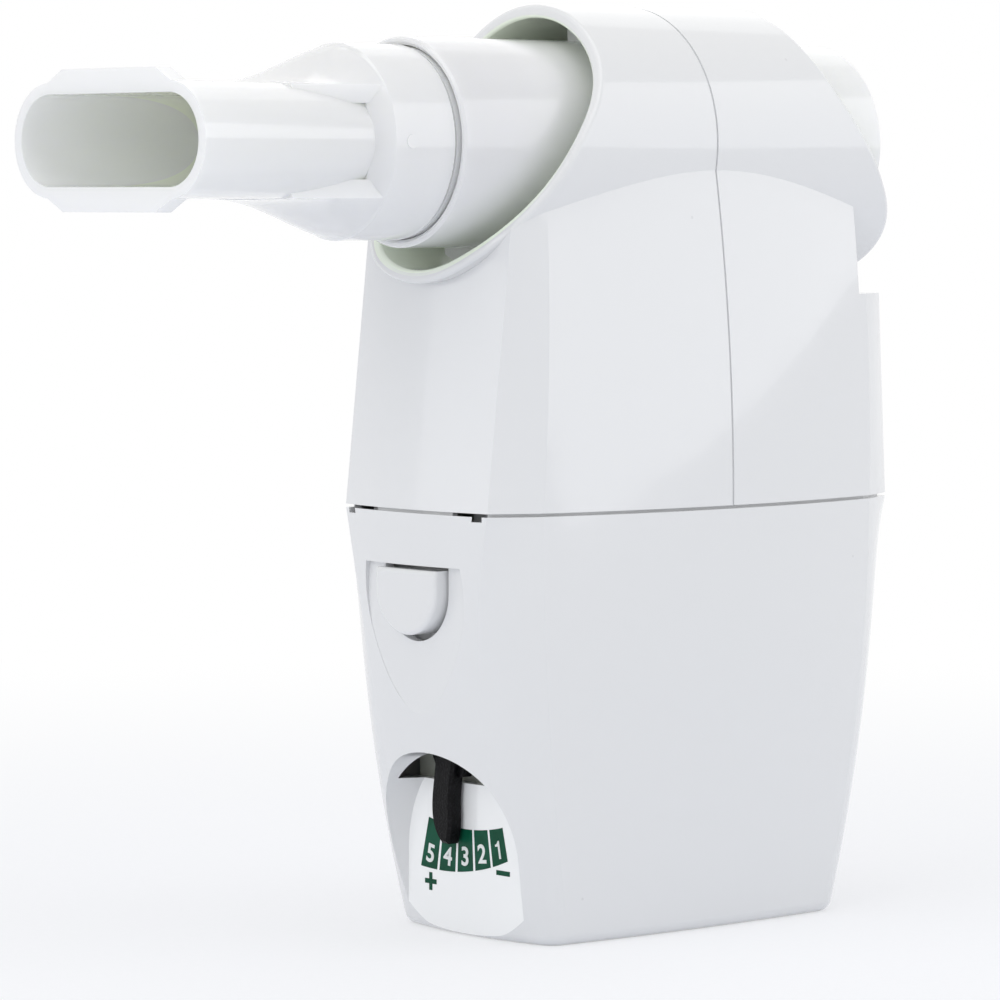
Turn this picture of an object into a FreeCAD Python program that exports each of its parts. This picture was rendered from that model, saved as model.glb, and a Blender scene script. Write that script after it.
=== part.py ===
import FreeCAD, Part
import math
import os

# An oscillating positive expiratory pressure device, in millimetres.
# X runs along the breathing tube and the mouthpiece points towards -X.
# Z is up and the origin is the centre of the flat underside.

# Walls and clearances
wall = 1.6                   # moulded wall of the outer casings
running_gap = 0.05           # radial clearance of a shaft or journal in its hole
seat_gap = 0.05              # clearance of a piece pushed into its seat
open_gap = 0.3               # clearance round pieces that swing or slide
outside = 150.0              # well past every face, for the ends of cutting bodies

# Outer casing in plan, at the parting line and at the base
parting_z = 51.1
half_length = 33.7
base_half_length = 24.9
side_half_width = 19.4
base_side_half_width = 14.9
corner_half_width = 13.0     # where the end faces meet the corner facets
low_corner_half_width = 9.6
base_corner_half_width = 11.4
face_bow = 1.3
panel_half_length = 26.5     # where the side panels meet the corner facets
base_panel_half_length = 20.6
panel_half_width = 16.2
base_panel_half_width = 14.2
facet_bow = 0.15             # how far a corner facet bulges
low_facet_bow = 1.1
base_facet_bow = 0.75
low_z = 22.0                 # where the corners of the lower casing are roundest
base_edge_radius = 1.6
floor_thickness = 2.0
parting_groove = 0.4
lip_height = 1.5             # register lip that stands up inside the upper casing
lip_outset = 0.9             # how far the register lip stands in from the outer face

# Breathing tube
tube_axis_z = 94.2
tube_radius = 12.3
tube_wall = 1.4
tube_front_reach = 1.4       # how far the tube stands past the casing's ends
tube_rear_reach = -1.5
socket_wall = 1.1            # wall round the sockets, which take 22 mm cones
socket_taper = 1.0 / 80.0    # on the radius, for a taper of 1 in 40 on the diameter
socket_depth = 12.0
tube_edge = 0.4
port_radius = 5.0
port_wall = 1.2
port_drop = 21.7             # from the tube's axis down to the end of its port
collar_width = 1.4

# Upper casing and the hood round the breathing tube
hood_radius = 16.5
hood_wall = 1.6
hood_reach = 1.18            # how far the swept rims run past the hood, in hood radii
hood_front_top = 14.4        # where the front rim stands at the top of the hood
hood_rear_top = 18.5
hood_front_foot = 1.1        # how far the foot of each rim is from the casing's ends
hood_rear_foot = 2.1
upper_taper = 0.08           # how much the end faces lean in for each mm of height
upper_lean = 0.03            # how much the casing leans to the rear for each mm of height
panel_taper = 0.03           # how much the side panels grow shorter for each mm of height
panel_top_drop = 3.2         # from the tube's axis down to where the side panels meet the hood
panel_flattening = 0.02      # how much flatter the side panels grow for each mm of height
shell_seam_x = 0.6           # where the front and rear shells of the hood meet
seam_groove_width = 0.3
seam_groove_depth = 0.2
rear_ledge_drop = 18.2       # from the tube's axis down to the step in the rear face
rear_ledge_depth = 8.7
front_rim_radius = 0.5
rear_rim_radius = 0.6
cavity_top_drop = 10.2       # from the tube's axis down to the roof of the casing's cavity

# Mouthpiece
mouthpiece_length = 41.5     # from the lips to the end of the breathing tube
lip_half_width = 18.0
lip_half_height = 6.5
lip_wing_height = 8.0
lip_wing_half_width = 8.7
lip_wing_root_half_width = 11.6
lip_length = 2.2
mouthpiece_wall = 1.3
stem_end_half_width = 10.4
cone_step = 0.9              # how much slimmer the cone is than the tube
cone_length = 9.4
shoulder_length = 2.6
cheek_length = 13.5          # how far the cheeks run in front of the cone
cheek_half_width = 9.3
spigot_depth = 11.0
gate_radius = 0.8
gate_rise = 0.1

# Oscillator
shaft_z = 41.0
shaft_radius = 1.0
hub_wall = 1.1
chamber_front_inset = 11.1   # how far the chamber's ends stand in from the casing's
chamber_rear_inset = 8.7
chamber_half_width = 11.0
chamber_wall = 1.2
chamber_bottom_z = 4.5
vane_room_depth = 20.0       # from the shaft down to the plenum's roof
vane_room_height = 15.2      # from the shaft up to the chamber's roof
barrel_length = 19.3         # from the chamber's front to the bulkhead
bulkhead_thickness = 1.8
barrel_radius = 8.5
barrel_wall = 1.0
barrel_lid = 1.4
port_setback = 9.2           # from the bulkhead forward to the port's axis
journal_radius = 4.0
vane_reach = 13.5
vane_thickness = 1.6
restrictor_twist = 15.0      # degrees between the restrictor and the vane
bush_radius = 2.0
bush_cap_width = 1.2
bush_cap_thickness = 1.6
nozzle_x = 12.0
nozzle_radius = 4.0
nozzle_wall = 0.9
nozzle_flange = 1.6
nozzle_flange_thickness = 1.2
nozzle_lip_half_width = 1.1
gasket_wall = 1.0
gasket_height = 3.6
seal_width = 0.8
seal_height = 0.8
seal_front_inset = 2.6
seal_rear_inset = 3.0
flange_width = 1.4
flange_thickness = 1.3

# Resistance lever and its scale
lever_setting = 4.0          # degrees, the tip stands on the fourth mark
lever_reach = 3.4            # from the chamber's front to the lever's face
lever_thickness = 1.8
finger_thickness = 1.8
finger_lift = 0.5            # gap between the finger and the scale behind it
lever_tip_radius = 29.9
lever_neck_radius = 19.6     # where the arm passes through the slot
neck_half_width = 3.3

# Recess for the lever
recess_setback = 9.0         # from the casing's front to the flat wall with the scale
recess_mouth_depth = 4.6
recess_mouth_half_width = 13.4
recess_back_half_width = 10.6
recess_back_drop = 0.5
recess_arch_height = 13.1
recess_top_radius = 18.4     # from the shaft down to the crown of the recess
slot_radius = 22.7           # from the shaft down to the lower edge of the lever's slot
slot_half_width = 7.6

# Latches
pocket_top_drop = 6.35       # from the parting line down to the pocket's top
pocket_length = 17.75
pocket_half_width = 8.6
pocket_depth = 1.4
pocket_shoulder = 0.97       # shares of its width that the pocket still has lower down
pocket_shoulder_height = 10.3
pocket_waist = 0.82
pocket_waist_height = 7.0
pocket_toe = 0.52
pocket_toe_height = 2.9
tab_half_width = 5.5
tab_drop = 0.45              # from the pocket's top down to the tab's
tab_height = 7.8
tab_face_rise = 0.5
tab_edge_radius = 0.55
latch_plate_thickness = 1.2
latch_pivot_drop = 21.1      # from the parting line down to the trunnions
latch_pivot_radius = 1.0
trunnion_length = 2.4
pivot_half_width = 8.8       # half the length over both trunnions
latch_setback = 1.2          # from the pocket's floor back to the plate
latch_arm_rise = 12.0        # from the trunnions up to the wide part of the plate
latch_half_width = 11.0
latch_arm_inner = 7.4
latch_hook_rise = 1.6        # from the parting line up to the hook
latch_hook_height = 1.5
latch_hook_reach = 0.85
ledge_half_width = 11.8
hook_slot_inner = 6.9
hook_slot_outer = 12.2

# Inhalation valve at the rear of the tube
valve_seat_thickness = 1.4
valve_ring_width = 2.25
valve_spoke_count = 3
flap_inset = 0.9             # how much smaller the flap is than the tube's bore
flap_thickness = 0.5
flap_hinge_height = 9.5
flap_pin_radius = 0.4
flap_pin_x = 0.7             # from the seat's face forward to the pins
flap_half_width = 3.0
flap_pin_half_length = 4.2

# Places that follow from the sizes above
lower_top_z = parting_z - parting_groove / 2
upper_bottom_z = parting_z + parting_groove / 2
lip_top_z = upper_bottom_z + lip_height
rear_ledge_z = tube_axis_z - rear_ledge_drop
rear_ledge_x = half_length - rear_ledge_depth
cavity_top_z = tube_axis_z - cavity_top_drop
tube_front_x = -(half_length + tube_front_reach)
tube_rear_x = half_length + tube_rear_reach
socket_radius = tube_radius - socket_wall
tube_bore_radius = tube_radius - tube_wall
port_end_z = tube_axis_z - port_drop
lip_x = tube_front_x - mouthpiece_length
cone_front_x = tube_front_x - cone_length
stem_end_x = cone_front_x - shoulder_length
cone_radius = tube_radius - cone_step
chamber_front_x = chamber_front_inset - half_length
chamber_rear_x = half_length - chamber_rear_inset
bulkhead_x = chamber_front_x + barrel_length
port_x = bulkhead_x - port_setback
plenum_roof_z = shaft_z - vane_room_depth
chamber_roof_z = shaft_z + vane_room_height
barrel_bore_radius = barrel_radius + 2 * running_gap
hub_radius = shaft_radius + hub_wall
gasket_radius = port_radius + port_wall + gasket_wall
lever_front_x = chamber_front_x - lever_reach
recess_wall_x = recess_setback - half_length
recess_mouth_x = recess_wall_x - recess_mouth_depth
recess_arch_centre_z = shaft_z - recess_top_radius - recess_arch_height
slot_bottom_z = shaft_z - slot_radius
pocket_top_z = parting_z - pocket_top_drop
pocket_tip_z = pocket_top_z - pocket_length
tab_top_z = pocket_top_z - tab_drop
tab_bottom_z = tab_top_z - tab_height
latch_pivot_z = parting_z - latch_pivot_drop
latch_hook_z = parting_z + latch_hook_rise
latch_top_z = latch_hook_z + latch_hook_height
valve_x = tube_rear_x - socket_depth - valve_seat_thickness
valve_hinge_z = tube_axis_z + flap_hinge_height
flap_radius = tube_bore_radius - flap_inset


def point(x, y, z):
    """A point in the part's frame."""
    return FreeCAD.Vector(x, y, z)


X_AXIS = point(1, 0, 0)
Y_AXIS = point(0, 1, 0)
Z_AXIS = point(0, 0, 1)


# Basic solids
def block(x0, x1, y0, y1, z0, z1):
    """A box between two corners."""
    return Part.makeBox(x1 - x0, y1 - y0, z1 - z0, point(x0, y0, z0))


def rod_x(radius, x0, x1, y=0.0, z=0.0):
    """A cylinder along X."""
    return Part.makeCylinder(radius, x1 - x0, point(x0, y, z), X_AXIS)


def rod_y(radius, y0, y1, x=0.0, z=0.0):
    """A cylinder along Y."""
    return Part.makeCylinder(radius, y1 - y0, point(x, y0, z), Y_AXIS)


def rod_z(radius, z0, z1, x=0.0, y=0.0):
    """A cylinder along Z."""
    return Part.makeCylinder(radius, z1 - z0, point(x, y, z0), Z_AXIS)


def prism_y(corners, half_width):
    """A polygon in the XZ plane, extruded to both sides of the centre plane."""
    wire = Part.makePolygon([point(x, -half_width, z) for x, z in corners + corners[:1]])
    return Part.Face(wire).extrude(point(0, 2 * half_width, 0))


def prism_x(corners, x0, x1):
    """A polygon in the YZ plane, extruded along X."""
    wire = Part.makePolygon([point(x0, y, z) for y, z in corners + corners[:1]])
    return Part.Face(wire).extrude(point(x1 - x0, 0, 0))


def prism_z(corners, z0, z1):
    """A polygon in the XY plane, extruded along Z."""
    wire = Part.makePolygon([point(x, y, z0) for x, y in corners + corners[:1]])
    return Part.Face(wire).extrude(point(0, 0, z1 - z0))


def revolve_x(corners, z):
    """A profile of distance along X and radius, turned about a line along X."""
    wire = Part.makePolygon([point(x, 0, z + r) for x, r in corners + corners[:1]])
    return Part.Face(wire).revolve(point(0, 0, z), X_AXIS, 360)


def turned(shape, degrees, z=shaft_z):
    """The shape turned about a line along X at the height z."""
    copy = shape.copy()
    copy.rotate(point(0, 0, z), X_AXIS, degrees)
    return copy


def mirrored_x(shape):
    """The shape mirrored front to rear."""
    return shape.mirror(point(0, 0, 0), X_AXIS)


def mirrored_y(shape):
    """The shape mirrored side to side."""
    return shape.mirror(point(0, 0, 0), Y_AXIS)


def both_sides(low, high):
    """The span from low to high on each side of the centre plane."""
    return [(low, high), (-high, -low)]


def edges_where(shape, test):
    """The edges of a shape whose bounding box passes the test."""
    return [edge for edge in shape.Edges if test(edge.BoundBox)]


def edges_on(shape, surface):
    """The edges of a shape that lie on the given face."""
    found = []
    for edge in shape.Edges:
        span = edge.LastParameter - edge.FirstParameter
        samples = [Part.Vertex(edge.valueAt(edge.FirstParameter + span * k / 4)) for k in range(5)]
        if all(surface.distToShape(sample)[0] < 1e-3 for sample in samples):
            found.append(edge)
    return found


# Plan outline of the casings
def arc_radius(chord_half, rise):
    """Radius of the arc with this half chord and rise."""
    return (chord_half ** 2 + rise ** 2) / (2 * rise)


def crossing(first, second, near):
    """The crossing of two circles, each a centre and a radius, that is closest to a point."""
    (ax, ay, a), (bx, by, b) = first, second
    reach = math.hypot(bx - ax, by - ay)
    along = (a ** 2 - b ** 2 + reach ** 2) / (2 * reach)
    across = math.sqrt(a ** 2 - along ** 2)
    ux, uy = (bx - ax) / reach, (by - ay) / reach
    spots = [(ax + along * ux - sign * across * uy, ay + along * uy + sign * across * ux) for sign in (1, -1)]
    return min(spots, key=lambda spot: math.hypot(spot[0] - near[0], spot[1] - near[1]))


def plan_outline(z, length, side, corner, panel, bow, lean, inset=0.0):
    """Two end faces, two side panels and four corner facets at the height z, offset inwards by inset.

    Corner is where a facet leaves the end face, and panel is where it reaches the side panel.
    """
    chord_x, chord_y = corner[0] - panel[0], panel[1] - corner[1]
    half_chord = math.hypot(chord_x, chord_y) / 2
    end_radius = arc_radius(corner[1], length - corner[0])
    side_radius = arc_radius(panel[0], side - panel[1])
    facet_radius = arc_radius(half_chord, bow)
    back = (facet_radius - bow) / (2 * half_chord)
    facet_x = (corner[0] + panel[0]) / 2 - back * chord_y
    facet_y = (corner[1] + panel[1]) / 2 - back * chord_x
    end = (length - end_radius, 0.0, end_radius - inset)
    facet = (facet_x, facet_y, facet_radius - inset)
    flank = (0.0, side - side_radius, side_radius - inset)
    cx, cy = crossing(end, facet, corner)
    px, py = crossing(facet, flank, panel)
    middle = (math.atan2(cy - facet_y, cx - facet_x) + math.atan2(py - facet_y, px - facet_x)) / 2
    mx, my = facet_x + facet[2] * math.cos(middle), facet_y + facet[2] * math.sin(middle)
    path = [
        ((cx, -cy), (length - inset, 0), (cx, cy)),
        ((cx, cy), (mx, my), (px, py)),
        ((px, py), (0, side - inset), (-px, py)),
        ((-px, py), (-mx, my), (-cx, cy)),
        ((-cx, cy), (inset - length, 0), (-cx, -cy)),
        ((-cx, -cy), (-mx, -my), (-px, -py)),
        ((-px, -py), (0, inset - side), (px, -py)),
        ((px, -py), (mx, -my), (cx, -cy)),
    ]
    return Part.Wire([Part.Arc(*[point(x + lean, y, z) for x, y in three]).toShape() for three in path])


def through(low, middle, high, share):
    """A smooth value that passes from low through middle to high; share is 1 at low and 0 at high."""
    turn = 1 - low_z / parting_z
    return (high * (share - turn) * (share - 1) / turn + middle * share * (share - 1) / (turn * (turn - 1))
            + low * share * (share - turn) / (1 - turn))


def lower_sizes(z):
    """The plan sizes of the lower casing at the height z."""
    fall = 1 - z / parting_z
    length = half_length - (half_length - base_half_length) * fall ** 2
    side = side_half_width - (side_half_width - base_side_half_width) * fall ** 2
    corner = through(base_corner_half_width, low_corner_half_width, corner_half_width, fall)
    panel_x = panel_half_length - (panel_half_length - base_panel_half_length) * fall ** 2
    panel_y = panel_half_width - (panel_half_width - base_panel_half_width) * fall ** 2
    bow = through(base_facet_bow, low_facet_bow, facet_bow, fall)
    return length, side, (length - face_bow, corner), (panel_x, panel_y), bow, 0.0


def side_arc():
    """Radius of the side's arc, upright at the parting line, up to where it meets the hood."""
    meet_half_width = math.sqrt(hood_radius ** 2 - panel_top_drop ** 2)
    return arc_radius(tube_axis_z - panel_top_drop - parting_z, side_half_width - meet_half_width)


def upper_sizes(z):
    """The plan sizes of the upper casing at the height z."""
    rise = z - parting_z
    length = half_length - upper_taper * rise
    radius = side_arc()
    side = side_half_width - radius + math.sqrt(radius ** 2 - rise ** 2)
    panel_bow = side_half_width - panel_half_width - panel_flattening * rise
    panel = (panel_half_length - panel_taper * rise, side - panel_bow)
    return length, side, (length - face_bow, corner_half_width), panel, facet_bow, upper_lean * rise


def casing_loft(sizes, heights, inset=0.0):
    """A smooth solid through the plan outlines at the given heights."""
    return Part.makeLoft([plan_outline(z, *sizes(z), inset) for z in heights], True, False)


def spread(low, high, count):
    """Evenly spaced heights."""
    return [low + (high - low) * i / (count - 1) for i in range(count)]


# Front recess for the lever
def arch_wire(x, half_width, height):
    """An elliptical arch on straight legs that reach below the base."""
    centre = point(x, 0, recess_arch_centre_z)
    crown = point(x, 0, recess_arch_centre_z + height)
    left = point(x, half_width, recess_arch_centre_z)
    right = point(x, -half_width, recess_arch_centre_z)
    if height > half_width:
        ellipse = Part.Ellipse(crown, left, centre)
    else:
        ellipse = Part.Ellipse(left, crown, centre)
    arc = ellipse_arc(ellipse, right, crown, left)
    legs = Part.makePolygon([left, point(x, half_width, -base_edge_radius),
                             point(x, -half_width, -base_edge_radius), right])
    return Part.Wire([arc] + legs.Edges)


def ellipse_arc(ellipse, first, through, last):
    """The half of the ellipse from first to last that passes through the middle point."""
    turn = 2 * math.pi
    start, middle, end = [ellipse.parameter(spot) for spot in (first, through, last)]
    if (middle - start) % turn < (end - start) % turn:
        return ellipse.toShape(start, start + (end - start) % turn)
    return ellipse.toShape(end, end + (start - end) % turn)


def recess_solid(grow):
    """The hollow of the recess, or with grow the body of its walls."""
    flare = (recess_mouth_half_width - recess_back_half_width) / recess_mouth_depth
    outer_x = -half_length - wall
    back_x = recess_wall_x + grow
    mouth_half = recess_mouth_half_width + grow + flare * (recess_mouth_x - outer_x)
    mouth = arch_wire(outer_x, mouth_half, recess_arch_height + grow)
    back = arch_wire(back_x, recess_back_half_width + grow, recess_arch_height + grow - recess_back_drop)
    return Part.makeLoft([mouth, back], True, True)


# Latch pocket in the end faces
def pocket_solid():
    """The scooped shield that surrounds a latch tab, deep at the top and fading at its tip."""
    face_x = -lower_sizes(pocket_top_z)[0]
    tip_x = -lower_sizes(pocket_tip_z)[0]
    half = pocket_half_width
    flank = [(half, pocket_top_z)]
    for share, height in ((pocket_shoulder, pocket_shoulder_height), (pocket_waist, pocket_waist_height),
                          (pocket_toe, pocket_toe_height)):
        flank.append((half * share, pocket_tip_z + height))
    spots = flank + [(0, pocket_tip_z)] + [(-y, z) for y, z in reversed(flank)]
    outline = Part.BSplineCurve()
    outline.interpolate([point(-outside, y, z) for y, z in spots])
    top = Part.makeLine(point(-outside, -half, pocket_top_z), point(-outside, half, pocket_top_z))
    shield = Part.Face(Part.Wire([outline.toShape(), top])).extrude(point(outside, 0, 0))
    scoop = prism_y([
        (-outside, pocket_tip_z - open_gap),
        (tip_x, pocket_tip_z - open_gap),
        (face_x + pocket_depth, tab_bottom_z + open_gap),
        (face_x + pocket_depth, pocket_top_z + open_gap),
        (-outside, pocket_top_z + open_gap),
    ], outside)
    return shield.common(scoop)


def tab_outline(x, margin_side, margin_bottom, margin_top):
    """The D of a latch tab: flat top, straight sides and a round bottom."""
    half = tab_half_width + margin_side
    top = tab_top_z + margin_top
    bottom = tab_bottom_z - margin_bottom
    shoulder = bottom + half
    arc = Part.Arc(point(x, half, shoulder), point(x, 0, bottom), point(x, -half, shoulder)).toShape()
    sides = Part.makePolygon([point(x, -half, shoulder), point(x, -half, top),
                              point(x, half, top), point(x, half, shoulder)])
    return Part.Wire([arc] + sides.Edges)


def pocket_back_x():
    """The inner face of the pocket's floor."""
    return -lower_sizes(pocket_top_z)[0] + pocket_depth + 0.8 * wall


def latch_plate_x():
    """The outer face of the latch plate behind the pocket."""
    return pocket_back_x() + latch_setback


def latch_pivot_x():
    """The latch turns on trunnions in the middle of its plate."""
    return latch_plate_x() + latch_plate_thickness / 2


def lower_end(cavity):
    """The walls and bosses that the lower casing adds behind a latch, at the front end."""
    margin = lip_outset
    backing = block(-outside, pocket_back_x(), -pocket_half_width - margin, pocket_half_width + margin,
                    latch_pivot_z + latch_pivot_radius, pocket_top_z + margin)
    boss_radius = 2 * latch_pivot_radius
    boss = block(-outside, latch_pivot_x() + boss_radius, pivot_half_width - trunnion_length,
                 pivot_half_width + open_gap, latch_pivot_z - boss_radius, latch_pivot_z + boss_radius)
    return [piece.common(cavity) for piece in (backing, boss, mirrored_y(boss))]


def lower_end_cuts():
    """The pocket, tab hole, trunnion holes and hook slots of the front end."""
    hole_bottom_gap = 0.8
    hole = Part.Face(tab_outline(-outside, open_gap, hole_bottom_gap, tab_drop))
    hole = hole.extrude(point(outside + latch_plate_x(), 0, 0))
    pivot = rod_y(latch_pivot_radius + running_gap, -pivot_half_width, pivot_half_width,
                  latch_pivot_x(), latch_pivot_z)
    slots = [block(-half_length + lip_outset, 0, low, high, lower_top_z - 2 * open_gap, lip_top_z + wall)
             for low, high in both_sides(hook_slot_inner, hook_slot_outer)]
    return [pocket_solid(), hole, pivot] + slots


def cradle_ribs(cavity):
    """Ribs that cradle the oscillator from below and from both sides."""
    rib_thickness = 1.4
    ribs = []
    for x in (bulkhead_x - port_setback, nozzle_x):
        ribs.append(block(x, x + rib_thickness, -chamber_half_width + wall, chamber_half_width - wall,
                          floor_thickness, chamber_bottom_z))
        side = block(x, x + rib_thickness, chamber_half_width + seat_gap, outside, floor_thickness, plenum_roof_z)
        ribs += [side.common(cavity), mirrored_y(side).common(cavity)]
    return ribs


def lower_casing():
    """The lower shell: bowed and tapered, open at the top, with the lever recess in front."""
    outer = casing_loft(lower_sizes, spread(0, lower_top_z, 5))
    outer = outer.makeFillet(base_edge_radius, edges_where(outer, lambda b: b.ZMax < 0.01))
    cavity = casing_loft(lower_sizes, spread(floor_thickness, parting_z + wall, 5), wall)
    shell = outer.cut(cavity)
    additions = [recess_solid(wall).common(cavity)] + cradle_ribs(cavity)
    front = lower_end(cavity)
    additions += front + [mirrored_x(piece) for piece in front]

    # Register lip that stands up inside the upper casing
    lip_outer = casing_loft(upper_sizes, [lower_top_z - lip_height, lip_top_z], lip_outset)
    lip_inner = casing_loft(upper_sizes, [lower_top_z - 2 * lip_height, lip_top_z + lip_height], wall)
    additions.append(lip_outer.cut(lip_inner))
    shell = shell.multiFuse(additions)

    # Openings
    slot = block(-outside, 0, -slot_half_width, recess_back_half_width + 2 * open_gap, slot_bottom_z, shaft_z)
    slot = slot.cut(block(-outside, recess_mouth_x + wall, -outside, outside, 0, outside))
    cuts = [recess_solid(0.0), slot.common(recess_solid(wall + open_gap))]
    front_cuts = lower_end_cuts()
    cuts += front_cuts + [mirrored_x(piece) for piece in front_cuts]
    return shell.cut(Part.makeCompound(cuts)).removeSplitter()


# Hood and upper shells
def hood_rim(top_x, foot_x, shares):
    """A swept rim in the centre plane, from its top to its foot on the casing's end face.

    Each share is how far the line has moved from top to foot, and its height in hood radii.
    """
    line = Part.BSplineCurve()
    line.interpolate([point(top_x + (foot_x - top_x) * along, 0, tube_axis_z + hood_radius * height)
                      for along, height in shares])
    return line.toShape()


def hood_envelope():
    """Side view of the upper casing: plain below, with the swept hood rims above."""
    front_top = -hood_front_top
    front_foot = hood_front_foot - half_length
    rear_foot = half_length - hood_rear_foot
    foot = -1.055
    front = hood_rim(front_top, front_foot, [
        (0, hood_reach), (0.011, 0.873), (0.121, 0.430), (0.319, 0.079),
        (0.604, -0.364), (0.846, -0.679), (0.978, -0.885), (1, foot)])
    rear = hood_rim(hood_rear_top, rear_foot, [
        (1, foot), (1.099, -0.873), (1.061, -0.582), (0.824, -0.273),
        (0.573, 0), (0.313, 0.291), (0.084, 0.667), (0, hood_reach)])
    foot_z = tube_axis_z + hood_radius * foot
    top_z = tube_axis_z + hood_radius * hood_reach
    low = Part.makePolygon([point(x, 0, z) for x, z in (
        (front_foot, foot_z), (-outside, foot_z), (-outside, 0), (outside, 0), (outside, foot_z),
        (rear_foot, foot_z))])
    top = Part.makeLine(point(hood_rear_top, 0, top_z), point(front_top, 0, top_z))
    face = Part.Face(Part.Wire([front] + low.Edges + [rear, top]))
    face.translate(point(0, -outside, 0))
    return face.extrude(point(0, 2 * outside, 0))


def latch_ledges():
    """The ledges inside the upper casing that the latch hooks catch, front and rear."""
    skin = casing_loft(upper_sizes, [upper_bottom_z, latch_top_z], lip_outset - 4 * seat_gap)
    ledges = []
    for low, high in both_sides(latch_arm_inner - 4 * seat_gap, ledge_half_width):
        ledge = block(-outside, latch_plate_x() - open_gap, low, high, upper_bottom_z, latch_hook_z - open_gap)
        ledges += [ledge.common(skin), mirrored_x(ledge).common(skin)]
    return ledges


def upper_ribs(cavity):
    """Ribs that hold the oscillator down, and saddles for the breathing tube."""
    rib_thickness = 1.2
    rib_half_width = 8.5
    saddle_thickness = 1.4
    pieces = []
    for x in (bulkhead_x + chamber_rear_inset, chamber_rear_x - 4 * rib_thickness):
        rib = block(x, x + rib_thickness, -rib_half_width, rib_half_width, chamber_roof_z + seat_gap, cavity_top_z)
        pieces.append(rib.common(cavity))
    ring_outer = hood_radius - hood_wall + open_gap
    low_half = 7.0
    high_half = 3.0
    saddles = (
        (tube_front_x + 13.1, low_half, -hood_radius, 0),
        (tube_rear_x - 9.7, low_half, -hood_radius, 0),
        (-hood_front_top + 8.4, high_half, 0, hood_radius),
        (hood_rear_top - 8.5, high_half, 0, hood_radius),
    )
    for x, half, low, high in saddles:
        ring = rod_x(ring_outer, x, x + saddle_thickness, 0, tube_axis_z)
        ring = ring.cut(rod_x(tube_radius + seat_gap, -outside, outside, 0, tube_axis_z))
        pieces.append(ring.common(block(-outside, outside, -half, half, tube_axis_z + low, tube_axis_z + high)))
    return pieces


def upper_casing():
    """Both upper shells in one, before they are parted at the seam."""
    body = casing_loft(upper_sizes, spread(upper_bottom_z, tube_axis_z, 5))
    body = body.cut(block(rear_ledge_x, outside, -outside, outside, rear_ledge_z, outside))
    hood = rod_x(hood_radius, -outside, outside, 0, tube_axis_z)
    envelope = hood_envelope()
    outer = body.fuse(hood).common(envelope)

    bore = rod_x(hood_radius - hood_wall, -outside, outside, 0, tube_axis_z)
    cavity = casing_loft(upper_sizes, spread(upper_bottom_z - wall, cavity_top_z, 4), wall)
    cavity = cavity.cut(hood)
    cavity = cavity.cut(block(rear_ledge_x - wall, outside, -outside, outside, rear_ledge_z - wall, outside))
    rebate = casing_loft(upper_sizes, [upper_bottom_z - lip_height, lip_top_z], lip_outset - seat_gap)
    shell = outer.cut(bore).cut(cavity).cut(rebate)
    shell = shell.multiFuse(latch_ledges() + upper_ribs(cavity))

    # The tube's port and the exhaust windows pass through the floor of the hood
    window_x = 8.0
    window_length = 10.0
    cuts = [rod_z(port_radius + port_wall + open_gap, rear_ledge_z, tube_axis_z, port_x)]
    for low, high in both_sides(2.5, 9.0):
        cuts.append(block(window_x, window_x + window_length, low, high, rear_ledge_z,
                          tube_axis_z - hood_radius / 2))
    shell = shell.cut(Part.makeCompound(cuts)).removeSplitter()

    # Rounded rims of the hood
    for face in envelope.Faces:
        if isinstance(face.Surface, Part.Plane):
            continue
        radius = front_rim_radius if face.BoundBox.XMax < 0 else rear_rim_radius
        shell = shell.makeFillet(radius, edges_on(shell, face))
    return shell


def upper_shells():
    """The front and rear shells, which meet at a seam across the hood."""
    whole = upper_casing()
    core = casing_loft(upper_sizes, spread(parting_z - lip_height, tube_axis_z, 5), seam_groove_depth)
    half_groove = seam_groove_width / 2
    groove = block(shell_seam_x - half_groove, shell_seam_x + half_groove, -outside, outside, 0, outside)
    groove = groove.cut(core).cut(rod_x(hood_radius - seam_groove_depth, -outside, outside, 0, tube_axis_z))
    whole = whole.cut(groove)
    front = whole.common(block(-outside, shell_seam_x, -outside, outside, 0, outside))
    rear = whole.common(block(shell_seam_x, outside, -outside, outside, 0, outside))
    return front, rear


# Breathing tube
def breathing_tube():
    """A straight tube with a socket at each end and a port down to the oscillator.

    The front socket is conical. The rear one is plain, and a 22 mm cone wedges in its mouth.
    """
    wide = socket_radius + socket_taper * socket_depth
    half_edge = tube_edge / 2
    profile = [
        (tube_front_x, wide + tube_edge), (tube_front_x + tube_edge, wide),
        (tube_front_x + socket_depth, socket_radius), (tube_front_x + socket_depth, tube_bore_radius),
        (tube_rear_x - socket_depth, tube_bore_radius), (tube_rear_x - socket_depth, socket_radius),
        (tube_rear_x - tube_edge, socket_radius), (tube_rear_x, socket_radius + tube_edge),
        (tube_rear_x, tube_radius - half_edge), (tube_rear_x - half_edge, tube_radius),
        (tube_front_x + tube_edge, tube_radius), (tube_front_x, tube_radius - half_edge),
    ]
    tube = revolve_x(profile, tube_axis_z)
    root_z = tube_axis_z - tube_bore_radius + tube_wall / 2
    spigot = rod_z(port_radius + port_wall, port_end_z, root_z, port_x)
    collar = rod_z(port_radius + port_wall + collar_width, tube_axis_z - hood_radius, root_z, port_x)
    hood_bore = rod_x(hood_radius - hood_wall - seat_gap, tube_front_x, tube_rear_x, 0, tube_axis_z)
    collar = collar.common(hood_bore)
    bore = rod_x(tube_bore_radius, tube_front_x + socket_depth, tube_rear_x - socket_depth, 0, tube_axis_z)
    tube = tube.fuse(spigot).fuse(collar).cut(bore)
    return tube.cut(rod_z(port_radius, port_end_z - wall, tube_axis_z, port_x)).removeSplitter()


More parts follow.
